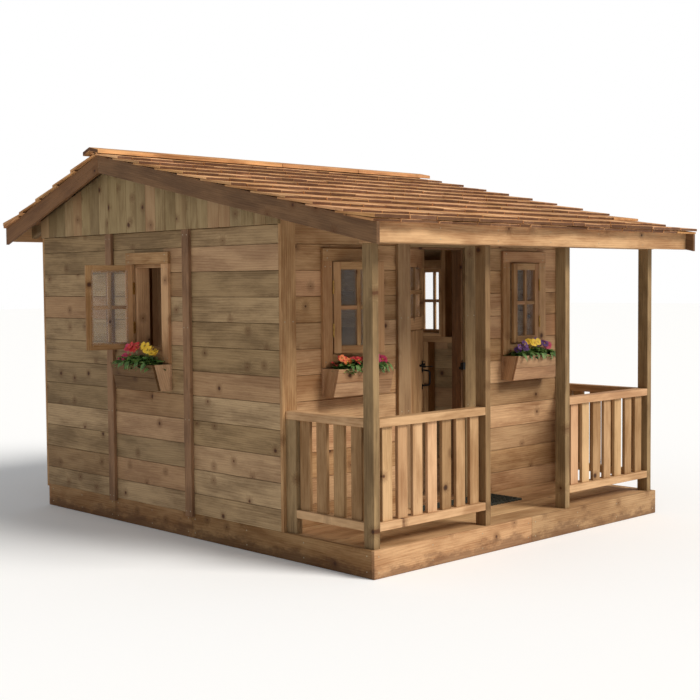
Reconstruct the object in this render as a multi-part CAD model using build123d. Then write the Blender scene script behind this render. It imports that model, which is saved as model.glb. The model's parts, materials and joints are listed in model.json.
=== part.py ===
from build123d import *
import math
import os

# A cedar playhouse with a covered porch, a Dutch door and four opening windows.
# Millimetres. X runs to the right along the porch, Y from the porch to the rear wall, Z up.
# The origin is on the ground, under the centre of the floor.

os.makedirs("parts", exist_ok=True)

# ---------------------------------------------------------------- driving dimensions
WIDTH = 2240
LENGTH = 2743
PORCH = 624
TRIM = 19            # thickness of skirt, casing, corner, batten, rake and fascia boards
SIDING = 16
STUD = 38
STUD_DEPTH = 64
RUNNER_HEIGHT = 19
JOIST_HEIGHT = 89
FLOOR = RUNNER_HEIGHT + JOIST_HEIGHT + TRIM
WALL_TOP = 1584      # top of the side walls and bottom of the gable boards
FRONT_WALL_TOP = 1640
REAR_WALL_TOP = 1632
FIRST_SEAM = 234     # height of the lowest siding seam
SIDING_ROW = 126     # height of siding that each row shows
LAP = 8
SEAM = 2

LEFT, RIGHT = -WIDTH / 2, WIDTH / 2
FRONT, BACK = -LENGTH / 2, LENGTH / 2
HOUSE = FRONT + PORCH
WALL = SIDING + STUD_DEPTH

WINDOW_WIDTH = 263
WINDOW_BOTTOM = 957
WINDOW_TOP = 1413
CASING = 62
CASING_BOTTOM = 893
SIDE_WINDOW = HOUSE + 919        # front edge of the side walls' window openings
FRONT_WINDOW_LEFT = LEFT + 330
FRONT_WINDOW_RIGHT = LEFT + 1702

DOOR_LEFT = LEFT + 884
DOOR_WIDTH = 430
DOOR_TOP = 1490
DOOR_SPLIT = 1050
DOOR_CASING = 92

FRONT_SLOPE = math.radians(11.8)
REAR_SLOPE = math.radians(19.5)
APEX_Y = FRONT + 1942
APEX_Z = 1905        # height of the rakes' lower edges where they meet
SIDE_OVERHANG = 133
RAKE_HEIGHT = 92
RAFTER_LOW, RAFTER_HIGH = 13, 77     # rafter edges, square to the slope above the rakes' lower edges
FRONT_RAKE_END = FRONT - 161
REAR_RAKE_END = FRONT + 2949
FASCIA_SETBACK = 47

POST_TOP = 1479
RAIL_TOP = 703
RAIL_LOW = 203
RAIL = 38

SWING_LEFT = 105     # how far each sash and door leaf stands open at rest, in degrees
SWING_FRONT_LEFT = 30
SWING_FRONT_RIGHT = 5
SWING_LOWER_DOOR = 32
SWING_UPPER_DOOR = 31


# ---------------------------------------------------------------- helpers
def block(x0, x1, y0, y1, z0, z1):
    size = Box(abs(x1 - x0), abs(y1 - y0), abs(z1 - z0))
    return Pos((x0 + x1) / 2, (y0 + y1) / 2, (z0 + z1) / 2) * size


def prism(points, sweep):
    face = Face(Wire.make_polygon([Vector(*point) for point in points], close=True))
    return Solid.extrude(face, Vector(*sweep))


def rod(start, end, radius):
    along = Vector(*end) - Vector(*start)
    plane = Plane(origin=Vector(*start), z_dir=along)
    return Solid.make_cylinder(radius, along.length, plane)


def save(name, solids):
    export_step(Compound(children=list(solids)), f"parts/{name}.step")


def spaced(first, last, count):
    step = (last - first) / (count - 1)
    return [first + step * index for index in range(count)]


class Wall:
    """A wall seen as (u, t, z): u along it, t inwards from the siding's outer face."""

    def __init__(self, origin, along, inward):
        self.origin = origin
        self.along = along
        self.inward = inward

    def point(self, u, t, z):
        x = self.origin[0] + self.along[0] * u + self.inward[0] * t
        y = self.origin[1] + self.along[1] * u + self.inward[1] * t
        return (x, y, z)

    def board(self, u0, u1, t0, t1, z0, z1):
        x0, y0, _ = self.point(u0, t0, 0)
        x1, y1, _ = self.point(u1, t1, 0)
        return block(x0, x1, y0, y1, z0, z1)

    def profile(self, u0, u1, outline):
        points = [self.point(u0, t, z) for t, z in outline]
        return prism(points, [component * (u1 - u0) for component in (*self.along, 0)])


LEFT_WALL = Wall((LEFT, 0), (0, 1), (1, 0))
RIGHT_WALL = Wall((RIGHT, 0), (0, 1), (-1, 0))
FRONT_WALL = Wall((0, HOUSE), (1, 0), (0, 1))
REAR_WALL = Wall((0, BACK), (1, 0), (0, -1))


def front_z(y, rise):
    return APEX_Z - (APEX_Y - y) * math.tan(FRONT_SLOPE) + rise / math.cos(FRONT_SLOPE)


def rear_z(y, rise):
    return APEX_Z - (y - APEX_Y) * math.tan(REAR_SLOPE) + rise / math.cos(REAR_SLOPE)


def ridge(rise):
    """Where the two slopes meet, for surfaces this far above the rakes' lower edges."""
    extra = rise / math.cos(REAR_SLOPE) - rise / math.cos(FRONT_SLOPE)
    y = APEX_Y + extra / (math.tan(FRONT_SLOPE) + math.tan(REAR_SLOPE))
    return y, front_z(y, rise)


def front_layer(x0, x1, y0, y1, low, high):
    outline = [(y0, front_z(y0, low)), (y1, front_z(y1, low)), (y1, front_z(y1, high)), (y0, front_z(y0, high))]
    return prism([(x0, y, z) for y, z in outline], (x1 - x0, 0, 0))


def rear_layer(x0, x1, y0, y1, low, high):
    outline = [(y0, rear_z(y0, low)), (y1, rear_z(y1, low)), (y1, rear_z(y1, high)), (y0, rear_z(y0, high))]
    return prism([(x0, y, z) for y, z in outline], (x1 - x0, 0, 0))


# ---------------------------------------------------------------- floor
def make_floor():
    inner_left, inner_right = LEFT + TRIM, RIGHT - TRIM
    inner_front, inner_back = FRONT + TRIM, BACK - TRIM
    runner_half = 44
    runner_lines = spaced(inner_left + runner_half, inner_right - runner_half, 5)
    save("ground_runners", [
        block(x - runner_half, x + runner_half, inner_front, inner_back, 0, RUNNER_HEIGHT)
        for x in runner_lines
    ])

    joist_top = RUNNER_HEIGHT + JOIST_HEIGHT
    joists = [
        block(inner_left, inner_left + STUD, inner_front, inner_back, RUNNER_HEIGHT, joist_top),
        block(inner_right - STUD, inner_right, inner_front, inner_back, RUNNER_HEIGHT, joist_top),
    ]
    for y in spaced(inner_front, inner_back - STUD, 8):
        joists.append(block(inner_left + STUD, inner_right - STUD, y, y + STUD, RUNNER_HEIGHT, joist_top))
    save("floor_joists", joists)

    board_count = 19
    pitch = (inner_back - inner_front + SEAM) / board_count
    save("deck_boards", [
        block(inner_left, inner_right, inner_front + pitch * row, inner_front + pitch * (row + 1) - SEAM,
              joist_top, FLOOR)
        for row in range(board_count)
    ])

    joint_gap = 1
    front_joint = LEFT + 1117
    panel = (LENGTH - PORCH) / 3
    skirts = [
        block(LEFT, front_joint, FRONT, FRONT + TRIM, 0, FLOOR),
        block(front_joint + joint_gap, RIGHT, FRONT, FRONT + TRIM, 0, FLOOR),
        block(LEFT, -joint_gap, BACK - TRIM, BACK, 0, FLOOR),
        block(0, RIGHT, BACK - TRIM, BACK, 0, FLOOR),
    ]
    ends = [inner_front, HOUSE + panel, HOUSE + 2 * panel, inner_back]
    for side in (LEFT, RIGHT - TRIM):
        for start, end in zip(ends, ends[1:]):
            skirts.append(block(side, side + TRIM, start, end - joint_gap, 0, FLOOR))
    save("skirt_boards", skirts)


# ---------------------------------------------------------------- siding and framing
def siding_rows(top):
    """Bottom and top of each row of siding, from the floor up."""
    seams = [FLOOR, FIRST_SEAM]
    while seams[-1] + SIDING_ROW < top - SIDING_ROW / 4:
        seams.append(seams[-1] + SIDING_ROW)
    seams.append(top)
    return list(zip(seams, seams[1:]))


def siding_board(wall, u0, u1, z0, z1, lapped_foot, tongue):
    """One board. Its tongue stands up behind the foot of the board above."""
    middle = SIDING / 2
    play = 0.3
    foot = z0 + LAP + play if lapped_foot else z0
    head = z1 + LAP if tongue else z1
    outline = [(0, z0), (middle, z0), (middle, foot), (SIDING, foot), (SIDING, head),
               (middle + play, head), (middle + play, z1 - SEAM), (0, z1 - SEAM)]
    if not lapped_foot:
        outline = [(0, z0), (SIDING, z0)] + outline[4:]
    if not tongue:
        outline = [corner for corner in outline if corner[1] < z1 - SEAM] + [(SIDING, z1 - SEAM), (0, z1 - SEAM)]
    return wall.profile(u0, u1, outline)


def clad(name, wall, panels, top, openings):
    """Rows of siding over each panel, cut round the window and door openings."""
    boards = []
    gap = 1
    rows = siding_rows(top)
    for panel_start, panel_end in panels:
        for z0, z1 in rows:
            foot, tongue = z0 > FLOOR, z1 < top
            cuts = [
                hole for hole in openings
                if hole[0] < panel_end and hole[1] > panel_start and hole[2] < z1 and hole[3] > z0
            ]
            start = panel_start
            for u0, u1, low, high in cuts:
                if u0 > start:
                    boards.append(siding_board(wall, start, u0, z0, z1, foot, tongue))
                if low > z0:
                    boards.append(siding_board(wall, u0, u1, z0, low + SEAM, foot, False))
                if high < z1:
                    boards.append(siding_board(wall, u0, u1, high, z1, False, tongue))
                start = u1
            if start < panel_end - gap:
                boards.append(siding_board(wall, start, panel_end - gap, z0, z1, foot, tongue))
    save(name, boards)


def frame(wall, u_start, u_end, top, joints, openings):
    """Plates, studs, sill rails and headers of one wall."""
    t0, t1 = SIDING, WALL
    pieces = [
        wall.board(u_start, u_end, t0, t1, FLOOR, FLOOR + STUD),
        wall.board(u_start, u_end, t0, t1, top - STUD, top),
    ]
    studs = [u_start, u_end - STUD]
    for joint in joints:
        studs += [joint - STUD, joint]
    for u in studs:
        pieces.append(wall.board(u, u + STUD, t0, t1, FLOOR + STUD, top - STUD))
    for u0, u1, low, high in openings:
        bay_start = max([u + STUD for u in studs if u + STUD <= u0 + 1])
        bay_end = min([u for u in studs if u >= u1 - 1])
        if low > FLOOR:
            pieces.append(wall.board(bay_start, bay_end, t0, t1, low - STUD, low))
            pieces.append(wall.board(u0 - STUD, u0, t0, t1, low, top - STUD))
            pieces.append(wall.board(u1, u1 + STUD, t0, t1, low, top - STUD))
            middle = (u0 + u1) / 2
            pieces.append(wall.board(middle - STUD / 2, middle + STUD / 2, t0, t1, FLOOR + STUD, low - STUD))
        pieces.append(wall.board(u0, u1, t0, t1, high, high + STUD))
    return pieces


def make_walls():
    panel = (LENGTH - PORCH) / 3
    side_joints = [HOUSE + panel, HOUSE + 2 * panel]
    side_panels = list(zip([HOUSE] + side_joints, side_joints + [BACK]))
    side_window = (SIDE_WINDOW, SIDE_WINDOW + WINDOW_WIDTH, WINDOW_BOTTOM, WINDOW_TOP)
    clad("left_siding", LEFT_WALL, side_panels, WALL_TOP, [side_window])
    clad("right_siding", RIGHT_WALL, side_panels, WALL_TOP, [side_window])

    inner_left, inner_right = LEFT + SIDING, RIGHT - SIDING
    door_start, door_end = DOOR_LEFT - TRIM, DOOR_LEFT + DOOR_WIDTH + TRIM
    left_window = (FRONT_WINDOW_LEFT, FRONT_WINDOW_LEFT + WINDOW_WIDTH, WINDOW_BOTTOM, WINDOW_TOP)
    right_window = (FRONT_WINDOW_RIGHT, FRONT_WINDOW_RIGHT + WINDOW_WIDTH, WINDOW_BOTTOM, WINDOW_TOP)
    door = (door_start, door_end, FLOOR, DOOR_TOP + TRIM)
    clad("front_siding", FRONT_WALL, [(inner_left, inner_right)], FRONT_WALL_TOP,
         [left_window, door, right_window])
    rear_joints = [LEFT + WIDTH / 3, LEFT + 2 * WIDTH / 3]
    rear_panels = list(zip([inner_left] + rear_joints, rear_joints + [inner_right]))
    clad("rear_siding", REAR_WALL, rear_panels, REAR_WALL_TOP, [])

    side_start, side_end = HOUSE + SIDING, BACK - SIDING
    cross_start, cross_end = LEFT + WALL, RIGHT - WALL
    framing = []
    for wall in (LEFT_WALL, RIGHT_WALL):
        framing += frame(wall, side_start, side_end, WALL_TOP, side_joints, [side_window])
    framing += frame(REAR_WALL, cross_start, cross_end, REAR_WALL_TOP, rear_joints, [])
    framing += frame(FRONT_WALL, cross_start, door_start, FRONT_WALL_TOP, [], [left_window])
    framing += frame(FRONT_WALL, door_end, cross_end, FRONT_WALL_TOP, [], [right_window])
    for low in (DOOR_TOP + TRIM, FRONT_WALL_TOP - STUD):
        framing.append(FRONT_WALL.board(door_start, door_end, SIDING, WALL, low, low + STUD))
    save("wall_framing", framing)

    batten_half = 28.5
    skirt_lap = 15
    battens = []
    for wall in (LEFT_WALL, RIGHT_WALL):
        for joint in side_joints:
            battens.append(wall.board(joint - batten_half, joint + batten_half, -TRIM, 0,
                                      FLOOR - skirt_lap, WALL_TOP))
    rear_trim_top = rear_z(BACK + TRIM, RAFTER_LOW) - 3
    for joint in rear_joints:
        battens.append(REAR_WALL.board(joint - batten_half, joint + batten_half, -TRIM, 0,
                                       FLOOR - skirt_lap, rear_trim_top))
    save("wall_battens", battens)
    corner_width = 92
    front_trim_top = front_z(HOUSE - TRIM, RAFTER_LOW) - 3
    corners = []
    for start in (LEFT, RIGHT - corner_width):
        corners.append(FRONT_WALL.board(start, start + corner_width, -TRIM, 0, FLOOR, front_trim_top))
        corners.append(REAR_WALL.board(start, start + corner_width, -TRIM, 0, FLOOR - skirt_lap, rear_trim_top))
    save("corner_boards", corners)


# ---------------------------------------------------------------- gables
def make_gables():
    board_top = 55
    start, end = HOUSE - TRIM, BACK
    count = 24
    width = (end - start) / count
    gap = 1
    peak_y, peak_z = ridge(board_top)
    boards = []
    for x in (LEFT - TRIM, RIGHT):
        for index in range(count):
            y0 = start + width * index
            y1 = y0 + width - gap
            outline = [(y0, WALL_TOP), (y1, WALL_TOP), (y1, min(front_z(y1, board_top), rear_z(y1, board_top)))]
            if y0 < peak_y < y1:
                outline.append((peak_y, peak_z))
            outline.append((y0, min(front_z(y0, board_top), rear_z(y0, board_top))))
            boards.append(prism([(x, y, z) for y, z in outline], (TRIM, 0, 0)))
    save("gable_boards", boards)

    studs = []
    for x in (LEFT, RIGHT - STUD):
        for y in spaced(HOUSE + WALL, BACK - WALL - STUD, 6):
            foot = [(y, WALL_TOP), (y + STUD, WALL_TOP)]
            head = [(spot, min(front_z(spot, RAFTER_LOW), rear_z(spot, RAFTER_LOW))) for spot in (y + STUD, y)]
            studs.append(prism([(x, a, b) for a, b in foot + head], (STUD, 0, 0)))
    save("gable_studs", studs)


# ---------------------------------------------------------------- roof
COURSE = 189
EAVE = FRONT - 165
REAR_EAVE = FRONT + 2961
SHINGLE_BASE = RAKE_HEIGHT
SHINGLE_BUTT = 24
SHINGLE_THIN = 10
STARTER_EXTRA = 10
SHINGLE_SIDE = SIDE_OVERHANG + 15


def make_roof():
    rafter_lines = spaced(LEFT, RIGHT - STUD, 6)
    beam_half = STUD / 2
    front_end = FRONT_RAKE_END + FASCIA_SETBACK + TRIM
    rear_end = REAR_RAKE_END - FASCIA_SETBACK - TRIM
    rafters = []
    for x in rafter_lines:
        rafters.append(front_layer(x, x + STUD, front_end, APEX_Y - beam_half, RAFTER_LOW, RAFTER_HIGH))
        rafters.append(rear_layer(x, x + STUD, APEX_Y + beam_half, rear_end, RAFTER_LOW, RAFTER_HIGH))
    save("rafters", rafters)

    ridge_top = front_z(APEX_Y - beam_half, RAFTER_HIGH)
    ridge_height = 140
    post_front, post_back = FRONT + TRIM, FRONT + TRIM + STUD_DEPTH
    porch_top = front_z(post_front, RAFTER_LOW)
    save("roof_beams", [
        block(LEFT, RIGHT, APEX_Y - beam_half, APEX_Y + beam_half, ridge_top - ridge_height, ridge_top),
        block(LEFT, RIGHT, post_front, post_back, POST_TOP, porch_top),
    ])

    overhang = SIDE_OVERHANG - TRIM
    lookout_low, lookout_width = 58, 64
    lookouts = []
    for x in (LEFT - overhang, RIGHT):
        for y in spaced(FRONT, APEX_Y - 150, 5):
            lookouts.append(front_layer(x, x + overhang, y, y + lookout_width, lookout_low, RAFTER_HIGH))
        for y in spaced(APEX_Y + 100, BACK, 3):
            lookouts.append(rear_layer(x, x + overhang, y, y + lookout_width, lookout_low, RAFTER_HIGH))
    save("lookout_blocks", lookouts)

    sheets = []
    ridge_low, ridge_high = ridge(RAFTER_HIGH), ridge(RAKE_HEIGHT)
    edges = spaced(LEFT - overhang, RIGHT + overhang, 4)
    for x0, x1 in zip(edges, edges[1:]):
        front_outline = [(front_end, front_z(front_end, RAFTER_HIGH)), ridge_low, ridge_high,
                         (front_end, front_z(front_end, RAKE_HEIGHT))]
        rear_outline = [ridge_low, (rear_end, rear_z(rear_end, RAFTER_HIGH)),
                        (rear_end, rear_z(rear_end, RAKE_HEIGHT)), ridge_high]
        for outline in (front_outline, rear_outline):
            sheets.append(prism([(x0, y, z) for y, z in outline], (x1 - x0 - 1, 0, 0)))
    save("roof_sheathing", sheets)

    rakes = []
    low, high = ridge(0), ridge(RAKE_HEIGHT)
    for x in (LEFT - SIDE_OVERHANG, RIGHT + overhang):
        front_outline = [(FRONT_RAKE_END, front_z(FRONT_RAKE_END, 0)), low, high,
                         (FRONT_RAKE_END, front_z(FRONT_RAKE_END, RAKE_HEIGHT))]
        rear_outline = [low, (REAR_RAKE_END, rear_z(REAR_RAKE_END, 0)),
                        (REAR_RAKE_END, rear_z(REAR_RAKE_END, RAKE_HEIGHT)), high]
        for outline in (front_outline, rear_outline):
            rakes.append(prism([(x, y, z) for y, z in outline], (TRIM, 0, 0)))
    save("rake_boards", rakes)

    fascia_height = 89
    front_low = front_z(front_end - TRIM, 0)
    rear_low = rear_z(rear_end + TRIM, 0)
    eave_left, eave_right = LEFT - overhang, RIGHT + overhang
    save("fascia_boards", [
        block(eave_left, eave_right, front_end - TRIM, front_end, front_low, front_low + fascia_height),
        block(eave_left, eave_right, rear_end, rear_end + TRIM, rear_low, rear_low + fascia_height),
    ])


def shingle_course(z_at, butt, head, extra):
    """One course: thick at the butt, thin where the next course starts."""
    outline = [(butt, z_at(butt, SHINGLE_BASE)), (head, z_at(head, SHINGLE_BASE)),
               (head, z_at(head, SHINGLE_BASE + SHINGLE_THIN)),
               (butt, z_at(butt, SHINGLE_BASE + SHINGLE_BUTT + extra))]
    return prism([(LEFT - SHINGLE_SIDE, y, z) for y, z in outline], (WIDTH + 2 * SHINGLE_SIDE, 0, 0))


def make_shingles():
    ridge_y, _ = ridge(SHINGLE_BASE)
    front_courses = []
    butt = EAVE
    while butt < ridge_y - COURSE / 2:
        head = butt + COURSE if butt + 1.5 * COURSE < ridge_y else ridge_y
        front_courses.append(shingle_course(front_z, butt, head, STARTER_EXTRA if butt == EAVE else 0))
        butt += COURSE
    save("front_shingles", front_courses)

    rear_courses = []
    butt = REAR_EAVE
    while butt > ridge_y + COURSE / 2:
        head = butt - COURSE if butt - 1.5 * COURSE > ridge_y else ridge_y + 1
        rear_courses.append(shingle_course(rear_z, butt, head, STARTER_EXTRA if butt == REAR_EAVE else 0))
        butt -= COURSE
    save("rear_shingles", rear_courses)

    cap_low, cap_high = 110, 130
    front_width, rear_width = 84, 64
    cap_overhang = 180
    low, high = ridge(cap_low), ridge(cap_high)
    front_edge, rear_edge = low[0] - front_width, low[0] + rear_width
    joints = [LEFT - cap_overhang, LEFT + 1110, LEFT + 1748, RIGHT + cap_overhang]
    caps = []
    for x0, x1 in zip(joints, joints[1:]):
        front_outline = [(front_edge, front_z(front_edge, cap_low)), low, high,
                         (front_edge, front_z(front_edge, cap_high))]
        rear_outline = [low, (rear_edge, rear_z(rear_edge, cap_low)),
                        (rear_edge, rear_z(rear_edge, cap_high)), high]
        for outline in (front_outline, rear_outline):
            caps.append(prism([(x0, y, z) for y, z in outline], (x1 - x0 - SEAM, 0, 0)))
    save("ridge_cap", caps)


# ---------------------------------------------------------------- porch
def make_porch():
    bay = 725
    first = LEFT + TRIM
    last = RIGHT - TRIM - STUD
    post_lines = [first, first + STUD + bay, last - bay - STUD, last]
    y0, y1 = FRONT + TRIM, FRONT + TRIM + STUD_DEPTH
    posts = [block(x, x + STUD, y0, y1, FLOOR, POST_TOP) for x in post_lines]
    half_post = 70
    post_end = HOUSE - TRIM
    for x in (first, last):
        posts.append(block(x, x + STUD, post_end - half_post, post_end, FLOOR, RAIL_TOP - RAIL))
    save("porch_posts", posts)

    heights = [(RAIL_LOW, RAIL_LOW + RAIL), (RAIL_TOP - RAIL, RAIL_TOP)]
    rails = []
    for low, high in heights:
        for x in (post_lines[0], post_lines[2]):
            rails.append(block(x + STUD, x + STUD + bay, y0, y1, low, high))
        rear = post_end if high == RAIL_TOP else post_end - half_post
        rails.append(block(first, first + STUD_DEPTH, y1, rear, low, high))
        rails.append(block(last + STUD - STUD_DEPTH, last + STUD, y1, rear, low, high))
    save("porch_rails", rails)

    recess = 16
    low, high = RAIL_LOW + RAIL, RAIL_TOP - RAIL
    width, pitch, count = 63, 99.2, 7
    margin = (bay - pitch * (count - 1) - width) / 2
    balusters = []
    for x in (post_lines[0], post_lines[2]):
        for index in range(count):
            start = x + STUD + margin + pitch * index
            balusters.append(block(start, start + width, y0 + recess, y0 + recess + TRIM, low, high))
    width, pitch, count = 68, 115, 4
    for x in (first + recess, last + STUD - recess - TRIM):
        for index in range(count):
            start = FRONT + 112 + pitch * index
            balusters.append(block(x, x + TRIM, start, start + width, low, high))
    save("balusters", balusters)

    mat_thickness = 12
    mat = block(LEFT + 844, LEFT + 1500, FRONT + 345, FRONT + 600, FLOOR, FLOOR + mat_thickness)
    save("door_mat", [fillet(mat.edges().filter_by(Axis.Z), 20)])


# ---------------------------------------------------------------- hinges
class Leaf:
    """A leaf hinged on a wall: s runs from the hinge jamb across the opening, t inwards."""

    def __init__(self, wall, jamb, side, axis_s, axis_t, swing, outward):
        self.wall = wall
        self.jamb = jamb
        self.side = side
        self.axis_s = axis_s
        self.axis_t = axis_t
        along = (wall.along[0] * side, wall.along[1] * side)
        towards = wall.inward if not outward else (-wall.inward[0], -wall.inward[1])
        self.turn = 1 if along[0] * towards[1] - along[1] * towards[0] > 0 else -1
        self.angle = math.radians(swing) * self.turn
        self.centre = wall.point(jamb + side * axis_s, axis_t, 0)

    def board(self, s0, s1, t0, t1, z0, z1):
        return self.wall.board(self.jamb + self.side * s0, self.jamb + self.side * s1, t0, t1, z0, z1)

    def point(self, s, t, z):
        return self.wall.point(self.jamb + self.side * s, t, z)

    def swung(self, solids):
        axis = Axis((self.centre[0], self.centre[1], 0), (0, 0, 1))
        return [solid.rotate(axis, math.degrees(self.angle)) for solid in solids]


KNUCKLE = 4
HINGE_HOLE = 1.55
HINGE_PIN = 1.5


def hinge(leaf, z_centre, height, frame_plate, leaf_plate):
    """A butt hinge: the fixed leaf, the moving leaf and the pin."""
    third = height / 3
    gap = 0.3
    foot = z_centre - height / 2
    spans = [(foot + third * n + gap / 2, foot + third * (n + 1) - gap / 2) for n in range(3)]
    axis = (leaf.axis_s, leaf.axis_t)

    def knuckle(span, radius):
        return rod(leaf.point(*axis, span[0]), leaf.point(*axis, span[1]), radius)

    def plate(size, knuckles, clear):
        body = leaf.board(*size, foot, foot + height)
        for span in clear:
            body -= knuckle((span[0] - gap, span[1] + gap), KNUCKLE + 0.3)
        for span in knuckles:
            body += knuckle(span, KNUCKLE)
        body -= knuckle((foot - 1, foot + height + 1), HINGE_HOLE)
        return body.solids()

    fixed = plate(frame_plate, [spans[0], spans[2]], [spans[1]])
    moving = plate(leaf_plate, [spans[1]], [spans[0], spans[2]])
    head = 1.5
    pin = knuckle((foot, foot + height), HINGE_PIN)
    pin += knuckle((foot - head, foot), 2.6)
    pin += knuckle((foot + height, foot + height + head), 2.6)
    return fixed, moving, pin.solids()


# ---------------------------------------------------------------- windows
SASH_THICK = 18
SASH_BACK = -0.7     # closed, the sash's inner face stands this far outside the siding's face
STILE = 38
BAR = 20
WINDOW_HINGE_HEIGHT = 64
GAP = 3


def window(name, wall, start, hinge_side, swing):
    """Casing, liner and hinged sash of one window. hinge_side is +1 where the hinges are at start."""
    end = start + WINDOW_WIDTH
    low, high = WINDOW_BOTTOM, WINDOW_TOP
    casing = [
        wall.board(start - CASING, end + CASING, -TRIM, 0, high, high + CASING),
        wall.board(start - CASING, start, -TRIM, 0, CASING_BOTTOM, high),
        wall.board(end, end + CASING, -TRIM, 0, CASING_BOTTOM, high),
        wall.board(start, end, -TRIM, 0, CASING_BOTTOM, low),
    ]
    liner = [
        wall.board(start, end, 0, WALL, low, low + TRIM),
        wall.board(start, end, 0, WALL, high - TRIM, high),
        wall.board(start, start + TRIM, 0, WALL, low + TRIM, high - TRIM),
        wall.board(end - TRIM, end, 0, WALL, low + TRIM, high - TRIM),
    ]

    jamb = start if hinge_side > 0 else end
    leaf = Leaf(wall, jamb, hinge_side, GAP / 2, -TRIM - KNUCKLE - 0.6, swing, True)
    s0, s1 = GAP, WINDOW_WIDTH - GAP
    z0, z1 = low + 4, high - 4
    front, back = SASH_BACK - SASH_THICK, SASH_BACK
    middle_s, middle_z = WINDOW_WIDTH / 2, (low + high) / 2
    bar_front = front + 4
    frame_solids = [
        leaf.board(s0, s0 + STILE, front, back, z0, z1),
        leaf.board(s1 - STILE, s1, front, back, z0, z1),
        leaf.board(s0 + STILE, s1 - STILE, front, back, z0, z0 + STILE),
        leaf.board(s0 + STILE, s1 - STILE, front, back, z1 - STILE, z1),
        leaf.board(middle_s - BAR / 2, middle_s + BAR / 2, bar_front, back, z0 + STILE, z1 - STILE),
        leaf.board(s0 + STILE, middle_s - BAR / 2, bar_front, back, middle_z - BAR / 2, middle_z + BAR / 2),
        leaf.board(middle_s + BAR / 2, s1 - STILE, bar_front, back, middle_z - BAR / 2, middle_z + BAR / 2),
    ]
    pane_lap, pane_thick = 10, 2
    pane = [leaf.board(s0 + STILE - pane_lap, s1 - STILE + pane_lap, back, back + pane_thick,
                       z0 + STILE - pane_lap, z1 - STILE + pane_lap)]

    fixed, moving, pins = [], [], []
    frame_plate = (0, 1.2, leaf.axis_t, -1)
    leaf_plate = (GAP - 1.2, GAP, leaf.axis_t, -2)
    for offset in (-110, 100):
        parts = hinge(leaf, middle_z + offset, WINDOW_HINGE_HEIGHT, frame_plate, leaf_plate)
        fixed += parts[0]
        moving += parts[1]
        pins += parts[2]
    save(f"{name}_sash", leaf.swung(frame_solids))
    save(f"{name}_pane", leaf.swung(pane))
    save(f"{name}_sash_hinge_leaves", leaf.swung(moving))
    print(name, "hinge axis at", [round(value, 3) for value in leaf.centre[:2]], "turn", leaf.turn)
    return casing, liner, fixed, pins


# ---------------------------------------------------------------- flower boxes
BOX_TOP = 890
BOX_HEIGHT = 137
BOX_DEPTH_TOP = 126
BOX_DEPTH_LOW = 88
BOX_BOARD = 16


def flower_box(wall, start):
    """A box whose front leans outwards: back, bottom, two ends and a front of two boards."""
    u0, u1 = start - CASING, start + WINDOW_WIDTH + CASING
    z0, z1 = BOX_TOP - BOX_HEIGHT, BOX_TOP
    lean = (BOX_DEPTH_TOP - BOX_DEPTH_LOW) / BOX_HEIGHT

    def face(z, inset):
        return -(BOX_DEPTH_LOW + lean * (z - z0)) + inset

    end_outline = [(-BOX_BOARD, z0), (-BOX_BOARD, z1), (face(z1, BOX_BOARD), z1), (face(z0, BOX_BOARD), z0)]
    boards = [wall.board(u0, u1, -BOX_BOARD, 0, z0, z1)]
    boards.append(wall.profile(u0, u0 + BOX_BOARD, end_outline))
    boards.append(wall.profile(u1 - BOX_BOARD, u1, end_outline))
    middle = (z0 + z1) / 2
    for low, high in ((z0, middle - 0.5), (middle + 0.5, z1)):
        outline = [(face(low, 0), low), (face(low, BOX_BOARD), low), (face(high, BOX_BOARD), high),
                   (face(high, 0), high)]
        boards.append(wall.profile(u0, u1, outline))
    floor_outline = [(-BOX_BOARD, z0), (-BOX_BOARD, z0 + BOX_BOARD), (face(z0 + BOX_BOARD, BOX_BOARD), z0 + BOX_BOARD),
                     (face(z0, BOX_BOARD), z0)]
    boards.append(wall.profile(u0 + BOX_BOARD, u1 - BOX_BOARD, floor_outline))

    soil_top = z1 - 18
    soil_low = z0 + BOX_BOARD
    soil_outline = [(-BOX_BOARD, soil_low), (-BOX_BOARD, soil_top), (face(soil_top, BOX_BOARD), soil_top),
                    (face(soil_low, BOX_BOARD), soil_low)]
    soil = wall.profile(u0 + BOX_BOARD, u1 - BOX_BOARD, soil_outline)
    plants = []
    plant_radius = 38
    plant_top = WINDOW_BOTTOM - 4
    for u in spaced(u0 + 66, u1 - 66, 4):
        x, y, _ = wall.point(u, -66, 0)
        crown = rod((x, y, soil_top), (x, y, plant_top), plant_radius)
        plants.append(fillet(crown.edges().group_by(Axis.Z)[-1], 20))
    return boards, [soil], plants


def make_windows():
    sides = [
        ("left", LEFT_WALL, SIDE_WINDOW, -1, SWING_LEFT),
        ("right", RIGHT_WALL, SIDE_WINDOW, -1, 0),
        ("front_left", FRONT_WALL, FRONT_WINDOW_LEFT, 1, SWING_FRONT_LEFT),
        ("front_right", FRONT_WALL, FRONT_WINDOW_RIGHT, -1, SWING_FRONT_RIGHT),
    ]
    casings, liners, fixed, pins = [], [], [], []
    boxes, soils, plants = [], [], []
    for name, wall, start, hinge_side, swing in sides:
        made = window(name, wall, start, hinge_side, swing)
        casings += made[0]
        liners += made[1]
        fixed += made[2]
        pins += made[3]
        box, soil, plant = flower_box(wall, start)
        boxes += box
        soils += soil
        plants += plant
    save("window_casings", casings)
    save("window_liners", liners)
    save("flower_boxes", boxes)
    save("potting_soil", soils)
    save("flower_plants", plants)
    return fixed, pins


# ---------------------------------------------------------------- door
LEAF_FRONT = 13      # closed, how far the leaves' outer faces lie behind the siding's face
LEAF_THICK = 18
DOOR_HINGE_HEIGHT = 76
LATCH_Z = 851


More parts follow.
